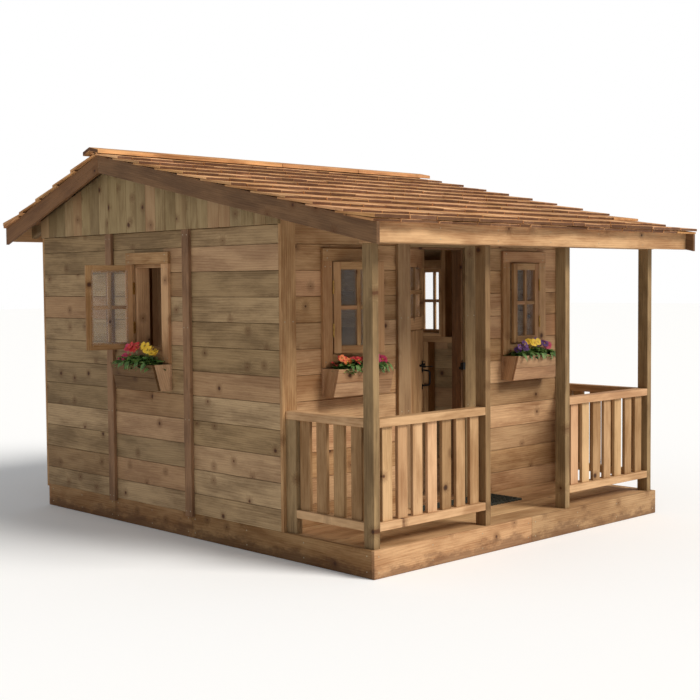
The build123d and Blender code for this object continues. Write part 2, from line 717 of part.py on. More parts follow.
def make_door():
    wall = FRONT_WALL
    start, end = DOOR_LEFT, DOOR_LEFT + DOOR_WIDTH
    top = DOOR_TOP
    casing_top = front_z(HOUSE - TRIM, RAFTER_LOW) - 3
    save("door_casing", [
        wall.board(start - DOOR_CASING, start, -TRIM, 0, FLOOR, casing_top),
        wall.board(end, end + DOOR_CASING, -TRIM, 0, FLOOR, casing_top),
        wall.board(start, end, -TRIM, 0, top, casing_top),
    ])
    save("door_jambs", [
        wall.board(start - TRIM, start, 0, WALL, FLOOR, top),
        wall.board(end, end + TRIM, 0, WALL, FLOOR, top),
        wall.board(start - TRIM, end + TRIM, 0, WALL, top, top + TRIM),
    ])
    sill_top = FLOOR + 12
    save("door_threshold", [wall.board(start, end, 0, WALL, FLOOR, sill_top)])
    stop = 12
    latch_gap = (LATCH_Z - 25, LATCH_Z + 29)
    save("door_stops", [
        wall.board(start, start + stop, 0, stop, sill_top, top - stop),
        wall.board(end - stop, end, 0, stop, sill_top, latch_gap[0]),
        wall.board(end - stop, end, 0, stop, latch_gap[1], top - stop),
        wall.board(start, end, 0, stop, top - stop, top),
    ])

    axis_s = 5.5
    axis_t = LEAF_FRONT + LEAF_THICK + 5
    front, back = LEAF_FRONT, LEAF_FRONT + LEAF_THICK
    lower = Leaf(wall, start, 1, axis_s, axis_t, SWING_LOWER_DOOR, False)
    upper = Leaf(wall, start, 1, axis_s, axis_t, SWING_UPPER_DOOR, False)
    s0, s1 = GAP, DOOR_WIDTH - GAP
    lower_z = (sill_top + 4, DOOR_SPLIT - 3)
    upper_z = (DOOR_SPLIT + 3, top - 4)

    board_count = 5
    pitch = (s1 - s0) / board_count
    boards = [
        lower.board(s0 + pitch * n, s0 + pitch * (n + 1) - (0.6 if n < board_count - 1 else 0), front, back,
                    *lower_z)
        for n in range(board_count)
    ]
    ledge_start, ledge_end, ledge_height = 66, 405, 64
    for z in (lower_z[0] + 90, lower_z[1] - 90 - ledge_height):
        boards.append(lower.board(ledge_start, ledge_end, back, back + TRIM, z, z + ledge_height))
    save("lower_door_leaf", lower.swung(boards))

    stile, top_rail, bottom_rail, bar = 50, 99, 66, 22
    middle = (s0 + s1) / 2
    glass_low, glass_high = upper_z[0] + bottom_rail, upper_z[1] - top_rail
    middle_z = (glass_low + glass_high) / 2
    bar_front = front + 4
    frame_solids = [
        upper.board(s0, s0 + stile, front, back, *upper_z),
        upper.board(s1 - stile, s1, front, back, *upper_z),
        upper.board(s0 + stile, s1 - stile, front, back, upper_z[0], glass_low),
        upper.board(s0 + stile, s1 - stile, front, back, glass_high, upper_z[1]),
        upper.board(middle - bar / 2, middle + bar / 2, bar_front, back, glass_low, glass_high),
        upper.board(s0 + stile, middle - bar / 2, bar_front, back, middle_z - bar / 2, middle_z + bar / 2),
        upper.board(middle + bar / 2, s1 - stile, bar_front, back, middle_z - bar / 2, middle_z + bar / 2),
    ]
    save("upper_door_leaf", upper.swung(frame_solids))
    lap = 10
    save("upper_door_pane", upper.swung([
        upper.board(s0 + stile - lap, s1 - stile + lap, back, back + 2, glass_low - lap, glass_high + lap)
    ]))

    fixed, pins = [], []
    frame_plate = (0, 2, axis_t - 4, axis_t + 30)
    leaf_plate = (axis_s, axis_s + 32, back, back + 2)
    for name, leaf, (low, high) in (("lower", lower, lower_z), ("upper", upper, upper_z)):
        moving = []
        for z in (low + 75, high - 75):
            parts = hinge(leaf, z, DOOR_HINGE_HEIGHT, frame_plate, leaf_plate)
            fixed += parts[0]
            moving += parts[1]
            pins += parts[2]
        save(f"{name}_door_hinge_leaves", leaf.swung(moving))
    print("door hinge axis at", [round(value, 3) for value in lower.centre[:2]], "turn", lower.turn)
    make_latch(lower)
    return fixed, pins


def make_latch(leaf):
    """Pull handle with a thumb lever that lifts the latch bar, all on the lower leaf's outer face."""
    handle_s = 385
    face = LEAF_FRONT
    plate = 2
    grip_top, grip_low, grip_out = 822, 736, -30
    grip_radius = 5
    plates = [
        leaf.board(handle_s - 12, handle_s + 12, face - plate, face, grip_top - 14, LATCH_Z + 22),
        leaf.board(handle_s - 10, handle_s + 10, face - plate, face, grip_low - 20, grip_low + 9),
    ]
    path = FilletPolyline(
        leaf.point(handle_s, face - 1, grip_top),
        leaf.point(handle_s, grip_out, grip_top - 4),
        leaf.point(handle_s, grip_out, grip_low + 4),
        leaf.point(handle_s, face - 1, grip_low),
        radius=16,
    )
    start_plane = Plane(origin=path @ 0, z_dir=path % 0)
    grip = sweep(start_plane * Circle(grip_radius), path=path)
    pivot_t, pivot_z = -2, LATCH_Z - 10
    ear_gap = 5.5
    handle = plates[0] + plates[1] + grip
    for side in (-1, 1):
        inner = handle_s + side * ear_gap
        ear = leaf.board(inner, inner + side * 3, pivot_t - 5, face - 1, pivot_z - 5, pivot_z + 4)
        handle += ear
    hole = rod(leaf.point(handle_s - 12, pivot_t, pivot_z), leaf.point(handle_s + 12, pivot_t, pivot_z), 1.55)
    handle -= hole
    save("door_pull_handle", leaf.swung(handle.solids()))

    lever_half = 5
    lever = leaf.board(handle_s - lever_half, handle_s + lever_half, -26, 8, pivot_z - 2.5, pivot_z + 2.5)
    pad = leaf.board(handle_s - 11, handle_s + 11, -46, -20, pivot_z - 1, pivot_z + 3)
    pivot = rod(leaf.point(handle_s - 8, pivot_t, pivot_z), leaf.point(handle_s + 8, pivot_t, pivot_z), 1.5)
    tip = leaf.board(handle_s - lever_half, handle_s + lever_half, 4, 8, pivot_z + 2.5, LATCH_Z - 5.8)
    lever = lever + pad + tip + pivot
    save("thumb_lever", leaf.swung(lever.solids()))

    bar_start, bar_end = 298, 421
    bar_pivot = 310
    bar_low, bar_high = LATCH_Z - 5, LATCH_Z + 6
    bar_front, bar_back = 3, 9
    bar = leaf.board(bar_start, bar_end, bar_front, bar_back, bar_low, bar_high)
    bar -= rod(leaf.point(bar_pivot, bar_front - 1, LATCH_Z), leaf.point(bar_pivot, bar_back + 1, LATCH_Z), 2.55)
    save("latch_bar", leaf.swung(bar.solids()))
    pin = rod(leaf.point(bar_pivot, bar_front - 2.5, LATCH_Z), leaf.point(bar_pivot, face, LATCH_Z), 2.5)
    pin += rod(leaf.point(bar_pivot, bar_front - 2.5, LATCH_Z), leaf.point(bar_pivot, bar_front - 0.4, LATCH_Z), 5)
    pin += rod(leaf.point(bar_pivot, bar_back + 0.4, LATCH_Z), leaf.point(bar_pivot, face, LATCH_Z), 5)

    guide_s = 402
    guide_low, guide_high = bar_low - 5, bar_high + 14
    guide = leaf.board(guide_s, guide_s + 6, -1, face, guide_low, guide_low + 3)
    guide += leaf.board(guide_s, guide_s + 6, -1, face, guide_high - 3, guide_high)
    guide += leaf.board(guide_s, guide_s + 6, -1, 1.5, guide_low, guide_high)
    save("latch_bar_mounts", leaf.swung(pin.solids() + guide.solids()))

    keeper_start = DOOR_WIDTH - 18
    lip_top = bar_low - 0.6
    keeper = leaf.board(keeper_start, DOOR_WIDTH, -TRIM, 12, LATCH_Z - 20, lip_top)
    keeper += leaf.board(keeper_start, DOOR_WIDTH, -TRIM, bar_front - 1.5, lip_top, LATCH_Z + 17)
    save("latch_keeper", keeper.solids())
    turned = [leaf.point(handle_s, pivot_t, pivot_z), leaf.point(bar_pivot, 6, LATCH_Z)]
    for label, (x, y, z) in zip(("lever", "bar"), turned):
        spot = Vector(x - leaf.centre[0], y - leaf.centre[1], z).rotate(Axis.Z, math.degrees(leaf.angle))
        print(label, "pivot at", [round(v, 3) for v in (spot.X + leaf.centre[0], spot.Y + leaf.centre[1], z)])


make_floor()
make_walls()
make_gables()
make_roof()
make_shingles()
make_porch()
window_leaves, window_pins = make_windows()
door_leaves, door_pins = make_door()
save("hinge_frame_leaves", window_leaves + door_leaves)
save("hinge_pins", window_pins + door_pins)
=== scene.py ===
import json
import math
import random

import bmesh
import bpy
from mathutils import Matrix, Vector, noise


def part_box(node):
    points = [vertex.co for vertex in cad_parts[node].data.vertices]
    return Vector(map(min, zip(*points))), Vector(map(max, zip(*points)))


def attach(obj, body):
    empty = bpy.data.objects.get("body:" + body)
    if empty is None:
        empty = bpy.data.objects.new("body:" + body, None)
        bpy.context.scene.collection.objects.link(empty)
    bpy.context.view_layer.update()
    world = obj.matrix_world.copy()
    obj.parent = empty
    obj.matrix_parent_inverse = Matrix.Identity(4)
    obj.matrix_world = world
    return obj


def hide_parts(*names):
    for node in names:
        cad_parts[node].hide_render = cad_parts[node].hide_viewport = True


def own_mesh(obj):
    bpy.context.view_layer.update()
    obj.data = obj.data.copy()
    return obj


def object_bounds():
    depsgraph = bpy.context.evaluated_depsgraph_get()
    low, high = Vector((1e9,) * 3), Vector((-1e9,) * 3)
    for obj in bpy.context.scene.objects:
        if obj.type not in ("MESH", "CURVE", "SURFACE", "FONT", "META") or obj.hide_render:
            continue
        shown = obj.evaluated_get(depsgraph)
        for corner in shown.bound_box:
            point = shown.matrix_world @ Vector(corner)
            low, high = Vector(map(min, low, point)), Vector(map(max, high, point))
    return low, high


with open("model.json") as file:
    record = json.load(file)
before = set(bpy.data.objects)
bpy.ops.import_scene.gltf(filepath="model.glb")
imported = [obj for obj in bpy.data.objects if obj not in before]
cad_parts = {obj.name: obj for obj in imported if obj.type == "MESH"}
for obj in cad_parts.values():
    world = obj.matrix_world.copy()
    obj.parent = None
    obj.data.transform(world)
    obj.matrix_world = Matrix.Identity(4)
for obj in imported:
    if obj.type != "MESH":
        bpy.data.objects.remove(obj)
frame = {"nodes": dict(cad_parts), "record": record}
cad_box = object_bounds()
rng = random.Random(7)
X, Y, UP = Vector((1, 0, 0)), Vector((0, 1, 0)), Vector((0, 0, 1))


# ---------------------------------------------------------------- materials
def linear(red, green, blue):
    """An sRGB colour from 0 to 255 as the linear colour that a shader takes."""
    values = []
    for value in (red / 255, green / 255, blue / 255):
        values.append(value / 12.92 if value <= 0.04045 else ((value + 0.055) / 1.055) ** 2.4)
    return (*values, 1.0)


class Nodes:
    """Builds one material's node tree."""

    def __init__(self, name):
        self.material = bpy.data.materials.new(name)
        self.material.use_nodes = True
        self.tree = self.material.node_tree
        self.tree.nodes.clear()
        self.shader = self.add("ShaderNodeBsdfPrincipled")
        output = self.add("ShaderNodeOutputMaterial")
        self.tree.links.new(self.shader.outputs[0], output.inputs[0])

    def add(self, kind, **settings):
        node = self.tree.nodes.new(kind)
        for key, value in settings.items():
            setattr(node, key, value)
        return node

    def feed(self, socket, value):
        if isinstance(value, bpy.types.NodeSocket):
            self.tree.links.new(value, socket)
        else:
            socket.default_value = value

    def set(self, **values):
        for name, value in values.items():
            self.feed(self.shader.inputs[name.replace("_", " ")], value)

    def attribute(self, name, output):
        return self.add("ShaderNodeAttribute", attribute_name=name).outputs[output]

    def position(self):
        return self.add("ShaderNodeTexCoord").outputs["Object"]

    def math(self, operation, *values, clamp=False):
        node = self.add("ShaderNodeMath", operation=operation, use_clamp=clamp)
        for socket, value in zip(node.inputs, values):
            self.feed(socket, value)
        return node.outputs[0]

    def scaled(self, vector, scale):
        node = self.add("ShaderNodeVectorMath", operation="MULTIPLY")
        self.feed(node.inputs[0], vector)
        node.inputs[1].default_value = scale
        return node.outputs[0]

    def noise(self, vector, scale=1.0, detail=2.0, roughness=0.5):
        node = self.add("ShaderNodeTexNoise")
        self.feed(node.inputs["Vector"], vector)
        node.inputs["Scale"].default_value = scale
        node.inputs["Detail"].default_value = detail
        node.inputs["Roughness"].default_value = roughness
        return node.outputs["Fac"]

    def between(self, value, low, high):
        """0 below low and 1 above high, smoothly. The limits may be given in either order."""
        node = self.add("ShaderNodeMapRange", interpolation_type="SMOOTHSTEP")
        self.feed(node.inputs["Value"], value)
        self.feed(node.inputs["From Min"], low)
        self.feed(node.inputs["From Max"], high)
        return node.outputs["Result"]

    def mix(self, factor, first, second, blend="MIX"):
        node = self.add("ShaderNodeMix", data_type="RGBA", blend_type=blend)
        self.feed(node.inputs[0], factor)
        self.feed(node.inputs[6], first)
        self.feed(node.inputs[7], second)
        return node.outputs[2]

    def bump(self, height, distance, strength=1.0):
        node = self.add("ShaderNodeBump")
        node.inputs["Strength"].default_value = strength
        node.inputs["Distance"].default_value = distance
        self.feed(node.inputs["Height"], height)
        self.feed(self.shader.inputs["Normal"], node.outputs[0])


KNOT_CELLS = 6.5                    # cells per metre, of which each may hold one knot
KNOT_LEAST, KNOT_SPREAD = 0.022, 0.080      # radii of the knots' dark hearts, in cells
FIBRE_SCALE = (4.0, 170.0, 170.0)   # along, across and through a board, per metre
BLOTCH_SCALE = (3.0, 11.0, 11.0)
WANDER_SCALE = (0.9, 5.0, 5.0)
RINGS_ACROSS, RINGS_THROUGH = 520.0, 260.0      # growth rings, in radians per metre
RINGS_WANDER, RINGS_ROUND_KNOT = 52.0, 16.0     # how far the rings bend, in radians
RING_DEPTH, FIBRE_DEPTH, BLOTCH_DEPTH = 0.17, 0.30, 0.66        # shares of the deep colour
NEAR_GROUND_DARK_HEIGHT = 0.24                # greatest height of the darkening towards the bottom of the skirts, in metres
KNOT_RIM = linear(96, 62, 34)
KNOT = linear(92, 56, 32)
KNOT_HEART = linear(52, 32, 21)
NEAR_GROUND_DARK = linear(84, 52, 32)


def wood(name, pale, deep, knot_share, end_grain_and_shade_share=0.45, end_grain_and_shade_colour=None, rosy=linear(176, 124, 92),
         silver=linear(112, 94, 70), darker_near_ground=False):
    """Cedar: growth rings and fibres along each board, knots, and a tone of its own for each board.

    knot_share is the share of the cells with a knot, the end share how much the end colour covers end grain,
    rosy and silver the colours that some boards lean to, and the near-ground flag darkens the wood in patches
    towards the bottom.
    On the shingles the dark end colour is painted shade on their butts.
    """
    n = Nodes(name)
    grain = n.attribute("grain", "Vector")
    tone = n.attribute("tone", "Fac")
    tint = n.attribute("tint", "Fac")
    end_grain = n.attribute("end", "Fac")
    split = n.add("ShaderNodeSeparateXYZ")
    n.feed(split.inputs[0], grain)

    cells = n.add("ShaderNodeTexVoronoi", voronoi_dimensions="2D")
    wobble = n.noise(grain, 60.0, 1.0)
    n.feed(cells.inputs["Vector"], grain)
    cells.inputs["Scale"].default_value = KNOT_CELLS
    cell = n.add("ShaderNodeSeparateColor")
    n.feed(cell.inputs[0], cells.outputs["Color"])
    has_knot = n.math("LESS_THAN", cell.outputs[0], knot_share)
    size = n.math("MULTIPLY_ADD", n.math("POWER", cell.outputs[1], 2.0), KNOT_SPREAD, KNOT_LEAST)
    reach = n.math("MULTIPLY_ADD", wobble, 0.03, cells.outputs["Distance"])
    knot = n.math("MULTIPLY", has_knot, n.between(reach, n.math("ADD", size, 0.03), size))
    heart = n.math("MULTIPLY", has_knot, n.between(reach, size, n.math("MULTIPLY", size, 0.5)))
    swirl = n.math("MULTIPLY", has_knot, n.between(reach, 0.32, 0.05))
    stain = n.math("MULTIPLY", has_knot, n.between(reach, 0.26, 0.08))

    wander = n.noise(n.scaled(grain, WANDER_SCALE), 1.0, 1.0)
    through = n.math("MULTIPLY", split.outputs[2], RINGS_THROUGH)
    across = n.math("MULTIPLY_ADD", split.outputs[1], RINGS_ACROSS, through)
    phase = n.math("ADD", across, n.math("MULTIPLY", wander, RINGS_WANDER))
    phase = n.math("ADD", phase, n.math("MULTIPLY", swirl, RINGS_ROUND_KNOT))
    ring = n.math("MULTIPLY_ADD", n.math("SINE", phase), 0.5, 0.5)
    ring = n.math("POWER", ring, 2.2)
    fibre = n.noise(n.scaled(grain, FIBRE_SCALE), 1.0, 3.0, 0.6)
    blotch = n.noise(n.scaled(grain, BLOTCH_SCALE), 1.0, 5.0, 0.62)

    fibre_depth = n.math("MULTIPLY", n.between(fibre, 0.35, 0.7), FIBRE_DEPTH)
    depth = n.math("SUBTRACT", n.math("MULTIPLY_ADD", ring, RING_DEPTH, fibre_depth), 0.04)
    depth = n.math("MULTIPLY_ADD", n.between(blotch, 0.36, 0.66), BLOTCH_DEPTH, depth, clamp=True)
    colour = n.mix(depth, pale, deep)
    for share, other in (
        (n.math("MULTIPLY", n.between(tint, 0.66, 1.0), 0.30), rosy),
        (n.math("MULTIPLY", n.between(tint, 0.38, 0.0), 0.26), silver),
        (n.math("MULTIPLY", stain, 0.45), KNOT_RIM),
        (n.math("MULTIPLY", knot, 0.85), KNOT),
        (n.math("MULTIPLY", heart, 0.8), KNOT_HEART),
        # The end colour darkens end grain; on the shingles it is painted shade on the butts.
        (n.math("MULTIPLY", end_grain, end_grain_and_shade_share), end_grain_and_shade_colour or deep),
    ):
        colour = n.mix(share, colour, other)
    # Darker in patches towards the bottom.
    if darker_near_ground:
        height = n.add("ShaderNodeSeparateXYZ")
        n.feed(height.inputs[0], n.position())
        patchy = n.noise(n.scaled(n.position(), (7.0, 7.0, 14.0)), 1.0, 4.0, 0.7)
        near_ground_reach = n.math("MULTIPLY_ADD", patchy, NEAR_GROUND_DARK_HEIGHT, n.math("MULTIPLY", height.outputs[2], -1.0))
        colour = n.mix(n.math("MULTIPLY", n.between(near_ground_reach, 0.045, 0.105), 0.6), colour, NEAR_GROUND_DARK)
    shade = n.add("ShaderNodeHueSaturation")
    n.feed(shade.inputs["Value"], n.math("MULTIPLY_ADD", tone, 0.62, 0.68))
    n.feed(shade.inputs["Saturation"], n.math("MULTIPLY_ADD", tone, -0.14, 1.11))
    n.feed(shade.inputs["Color"], colour)
    n.set(Base_Color=shade.outputs[0], Roughness=n.math("MULTIPLY_ADD", fibre, 0.2, 0.62))
    n.shader.inputs["Specular IOR Level"].default_value = 0.3
    relief = n.math("MULTIPLY_ADD", fibre, 0.8, n.math("MULTIPLY", ring, -0.35))
    n.bump(n.math("MULTIPLY_ADD", heart, -0.5, relief), 0.0009)
    return n.material


def metal(name, colour, roughness, metallic, mottled):
    n = Nodes(name)
    patches = n.noise(n.position(), 90.0, 4.0, 0.65)
    n.set(Base_Color=n.mix(n.between(patches, 0.35, 0.75), colour, mottled))
    n.set(Roughness=n.math("MULTIPLY_ADD", patches, 0.25, roughness))
    n.shader.inputs["Metallic"].default_value = metallic
    n.bump(n.noise(n.position(), 700.0, 2.0), 0.00025)
    return n.material


def acrylic():
    n = Nodes("clear_acrylic")
    haze = n.noise(n.position(), 9.0, 3.0)
    n.set(Base_Color=n.mix(haze, linear(228, 234, 234), linear(248, 250, 250)))
    n.shader.inputs["Roughness"].default_value = 0.03
    n.shader.inputs["IOR"].default_value = 1.45
    n.shader.inputs["Alpha"].default_value = 0.05
    n.material.surface_render_method = "BLENDED"
    return n.material


def rubber():
    n = Nodes("mat_rubber")
    dust = n.noise(n.position(), 40.0, 5.0, 0.7)
    colour = n.mix(n.between(dust, 0.4, 0.8), linear(42, 44, 35), linear(82, 82, 66))
    n.set(Base_Color=colour, Roughness=0.8)
    n.bump(n.noise(n.position(), 900.0, 2.0), 0.0004)
    return n.material


def soil():
    n = Nodes("potting_soil")
    crumbs = n.noise(n.position(), 160.0, 6.0, 0.75)
    bark = n.noise(n.position(), 55.0, 3.0)
    colour = n.mix(crumbs, linear(34, 25, 18), linear(82, 60, 42))
    n.set(Base_Color=n.mix(n.between(bark, 0.62, 0.72), colour, linear(128, 92, 60)), Roughness=0.95)
    n.bump(crumbs, 0.006)
    return n.material


def foliage():
    n = Nodes("leaf_green")
    tone = n.attribute("tone", "Fac")
    ribs = n.noise(n.position(), 130.0, 3.0)
    colour = n.mix(tone, linear(58, 96, 44), linear(156, 186, 104))
    n.set(Base_Color=n.mix(n.math("MULTIPLY", ribs, 0.4), colour, linear(92, 130, 66)), Roughness=0.5)
    n.shader.inputs["Subsurface Weight"].default_value = 0.1
    n.shader.inputs["Subsurface Radius"].default_value = (0.004, 0.008, 0.002)
    n.bump(ribs, 0.001)
    return n.material


def petals():
    n = Nodes("petals")
    tint = n.attribute("petal", "Color")
    heart = n.attribute("heart", "Fac")
    veins = n.noise(n.position(), 260.0, 3.0)
    colour = n.mix(n.math("MULTIPLY", veins, 0.10), tint, linear(255, 235, 225))
    colour = n.mix(n.between(heart, 0.35, 0.7), colour, linear(70, 20, 20))
    n.set(Base_Color=n.mix(n.between(heart, 0.72, 0.9), colour, linear(255, 205, 40)), Roughness=0.55)
    n.shader.inputs["Subsurface Weight"].default_value = 0.12
    n.shader.inputs["Subsurface Radius"].default_value = (0.006, 0.003, 0.003)
    n.bump(veins, 0.0006)
    return n.material


CEDAR = wood("cedar", linear(188, 150, 108), linear(134, 94, 58), 0.36)
# A darker copy of cedar that paints shade: made for the shaded left wall, and used also on the right and rear
# walls, joists, rafters, posts and door casing.
CEDAR_PAINTED_SHADE = wood("cedar_painted_shade", linear(168, 140, 103), linear(113, 89, 60), 0.42)
CEDAR_ROSY = wood("cedar_fresh", linear(204, 166, 126), linear(152, 114, 78), 0.14,
                  rosy=linear(204, 152, 122), silver=linear(196, 168, 118))
CEDAR_SKIRT = wood("cedar_for_skirts", linear(194, 156, 115), linear(138, 98, 62), 0.40, darker_near_ground=True)
CEDAR_DARK = wood("cedar_dark", linear(136, 101, 70), linear(86, 58, 36), 0.30, silver=linear(104, 80, 58))
CEDAR_GABLE = wood("cedar_gable", linear(154, 132, 94), linear(112, 88, 55), 0.44)
CEDAR_BOX = wood("cedar_box", linear(188, 150, 112), linear(136, 99, 67), 0.30)
# The dark end colour is painted shade on the shingles' butts, which face down the slope, away from the sky.
SHINGLE = wood("cedar_shingle", linear(228, 176, 124), linear(142, 92, 54), 0.04, end_grain_and_shade_share=0.9,
               end_grain_and_shade_colour=linear(76, 44, 26))
BRASS = metal("hinge_brass", linear(190, 150, 84), 0.28, 1.0, linear(128, 98, 56))
IRON = metal("black_iron", linear(24, 24, 25), 0.42, 0.6, linear(44, 40, 38))
STEEL = metal("screw_steel", linear(190, 178, 150), 0.32, 1.0, linear(120, 108, 88))
ACRYLIC = acrylic()
RUBBER = rubber()
SOIL = soil()
LEAF = foliage()
PETAL = petals()


# ---------------------------------------------------------------- meshes
def solids_of(node):
    """The node's closed solids, each as (points, triangles). A solid ends where its shell closes."""
    mesh = frame["nodes"][node].data
    mesh.calc_loop_triangles()
    solids, points, index_of, triangles, open_edges = [], [], {}, [], set()
    for triangle in mesh.loop_triangles:
        corners = []
        for vertex in triangle.vertices:
            position = mesh.vertices[vertex].co
            key = tuple(round(value * 1e5) for value in position)
            if key not in index_of:
                index_of[key] = len(points)
                points.append(position.copy())
            corners.append(index_of[key])
        if len(set(corners)) < 3:
            continue
        triangles.append(corners)
        for start, end in zip(corners, corners[1:] + corners[:1]):
            if (end, start) in open_edges:
                open_edges.remove((end, start))
            else:
                open_edges.add((start, end))
        if not open_edges:
            solids.append((points, triangles))
            points, index_of, triangles = [], {}, []
    if triangles:
        solids.append((points, triangles))
    return solids


def flat_faced(node):
    """A CAD node's solids as a bmesh, with their flat faces whole again."""
    builder = bmesh.new()
    for points, triangles in solids_of(node):
        vertices = [builder.verts.new(point) for point in points]
        for corners in triangles:
            builder.faces.new([vertices[corner] for corner in corners])
    builder.normal_update()
    bmesh.ops.dissolve_limit(builder, angle_limit=math.radians(1), verts=builder.verts, edges=builder.edges)
    return builder


def extent(points):
    """The lowest and highest corner of the box round some points."""
    low = Vector([min(point[axis] for point in points) for axis in range(3)])
    high = Vector([max(point[axis] for point in points) for axis in range(3)])
    return low, high


def circle(builder, centre, side, other, radius, count):
    """Vertices round a circle that lies in the plane of two directions."""
    angles = [2 * math.pi * step / count for step in range(count)]
    return [
        builder.verts.new(centre + (side * math.cos(angle) + other * math.sin(angle)) * radius)
        for angle in angles
    ]


def band(builder, first, second):
    """Faces between two closed loops of vertices."""
    for index in range(len(first)):
        after = (index + 1) % len(first)
        builder.faces.new((first[index], first[after], second[after], second[index]))


def new_piece(name, mesh_builder, material, body="house"):
    mesh = bpy.data.meshes.new(name)
    mesh_builder.to_mesh(mesh)
    mesh_builder.free()
    piece = bpy.data.objects.new(name, mesh)
    bpy.context.scene.collection.objects.link(piece)
    mesh.materials.append(material)
    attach(piece, body)
    return piece


def axes_of(points, edges):
    """Length, width and thickness directions of a board, from its longest edges."""
    spans = sorted(((points[b] - points[a] for a, b in edges)), key=lambda span: -span.length)
    along = spans[0].normalized()
    width = next(
        (span - along * span.dot(along) for span in spans if abs(span.normalized().dot(along)) < 0.5),
        along.orthogonal(),
    ).normalized()
    return along, width, along.cross(width)


def islands(builder):
    """The connected groups of vertices of a bmesh."""
    seen = set()
    for first in builder.verts:
        if first in seen:
            continue
        group, queue = [], [first]
        seen.add(first)
        while queue:
            vertex = queue.pop()
            group.append(vertex)
            for edge in vertex.link_edges:
                other = edge.other_vert(vertex)
                if other not in seen:
                    seen.add(other)
                    queue.append(other)
        yield group


GRAIN_SHIFT = 40         # metres; gives each board a piece of the pattern that no other board shows


def random_shift():
    return Vector([rng.uniform(0, GRAIN_SHIFT) for _ in range(3)])


def grain_layers(builder, tones):
    """Gives each board its own grain direction, tone and tint, and marks its end grain.

    tones is the lowest and highest tone, or a function that gives them for a board's centre.
    """
    grain = builder.verts.layers.float_vector.new("grain")
    tone_layer = builder.verts.layers.float.new("tone")
    tint_layer = builder.verts.layers.float.new("tint")
    end_layer = builder.faces.layers.float.new("end")
    for group in islands(builder):
        edges = {edge for vertex in group for edge in vertex.link_edges}
        spans = [(edge.verts[0].index, edge.verts[1].index) for edge in edges]
        points = {vertex.index: vertex.co for vertex in group}
        along, width, thick = axes_of(points, sorted(spans))
        shift = random_shift()
        centre = sum((vertex.co for vertex in group), Vector()) / len(group)
        tone, tint = rng.uniform(*(tones(centre) if callable(tones) else tones)), rng.random()
        for vertex in group:
            local = (vertex.co.dot(along), vertex.co.dot(width), vertex.co.dot(thick))
            vertex[grain] = Vector(local) + shift
            vertex[tone_layer] = tone
            vertex[tint_layer] = tint
            for face in vertex.link_faces:
                face[end_layer] = 1.0 if abs(face.normal.dot(along)) > 0.8 else 0.0


def soften(builder, width):
    """Rounds the boards' sharp edges."""
    builder.normal_update()
    sharp = [
        edge for edge in builder.edges
        if len(edge.link_faces) == 2 and edge.calc_face_angle(0) > math.radians(20)
    ]
    bmesh.ops.bevel(builder, geom=sharp, offset=width, segments=1, profile=0.5, affect="EDGES",
                    clamp_overlap=True)
    builder.verts.index_update()
    builder.normal_update()


BOARD_EDGE = 0.0016      # width of the boards' worn edges


def boards(node, material, tones, body="house"):
    """Replaces a wooden CAD node by boards with worn edges and their own grain."""
    builder = flat_faced(node)
    soften(builder, BOARD_EDGE)
    grain_layers(builder, tones)
    piece = new_piece(f"{node}_wood", builder, material, body)
    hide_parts(node)


BOX_END_REACH = 0.085    # from the wall's inner face; only a side box's front boards lie beyond it
SIDE_BALUSTER = 0.06     # from the porch's front; the side bays' balusters stand beyond it
SIDE_POST = 0.2          # from the porch's front; the posts against the house stand beyond it


def box_tones(centre):
    """The fronts of the side walls' flower boxes are darker than the rest: painted shade."""
    side_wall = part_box("right_siding")[0].x
    if abs(centre.x) < side_wall:
        return (0.6, 1.0)
    return (-0.65, -0.5) if abs(centre.x) > side_wall + BOX_END_REACH else (0.9, 1.2)


def skirt_tones(centre):
    """The skirts along the side walls are darker than those at the front and rear: painted shade on the
    shaded sides.
    """
    return (-0.15, 0.15) if abs(centre.y) < cad_box[1].y * 0.75 else (0.3, 0.65)


def post_tones(centre):
    """The posts that stand against the house are paler than those at the porch's front, whose darker tones
    paint the shade on their left faces.
    """
    return (0.4, 0.8) if centre.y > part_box("balusters")[0].y + SIDE_POST else (-0.2, 0.25)


def baluster_tones(centre):
    """The balusters at the porch's sides are greyer than those along its front."""
    at_side = centre.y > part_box("balusters")[0].y + SIDE_BALUSTER
    return (-0.25, 0.1) if at_side else (-0.2, 0.65)


slots = {part["node"]: part["material_slot"] for part in frame["record"]["subparts"]}

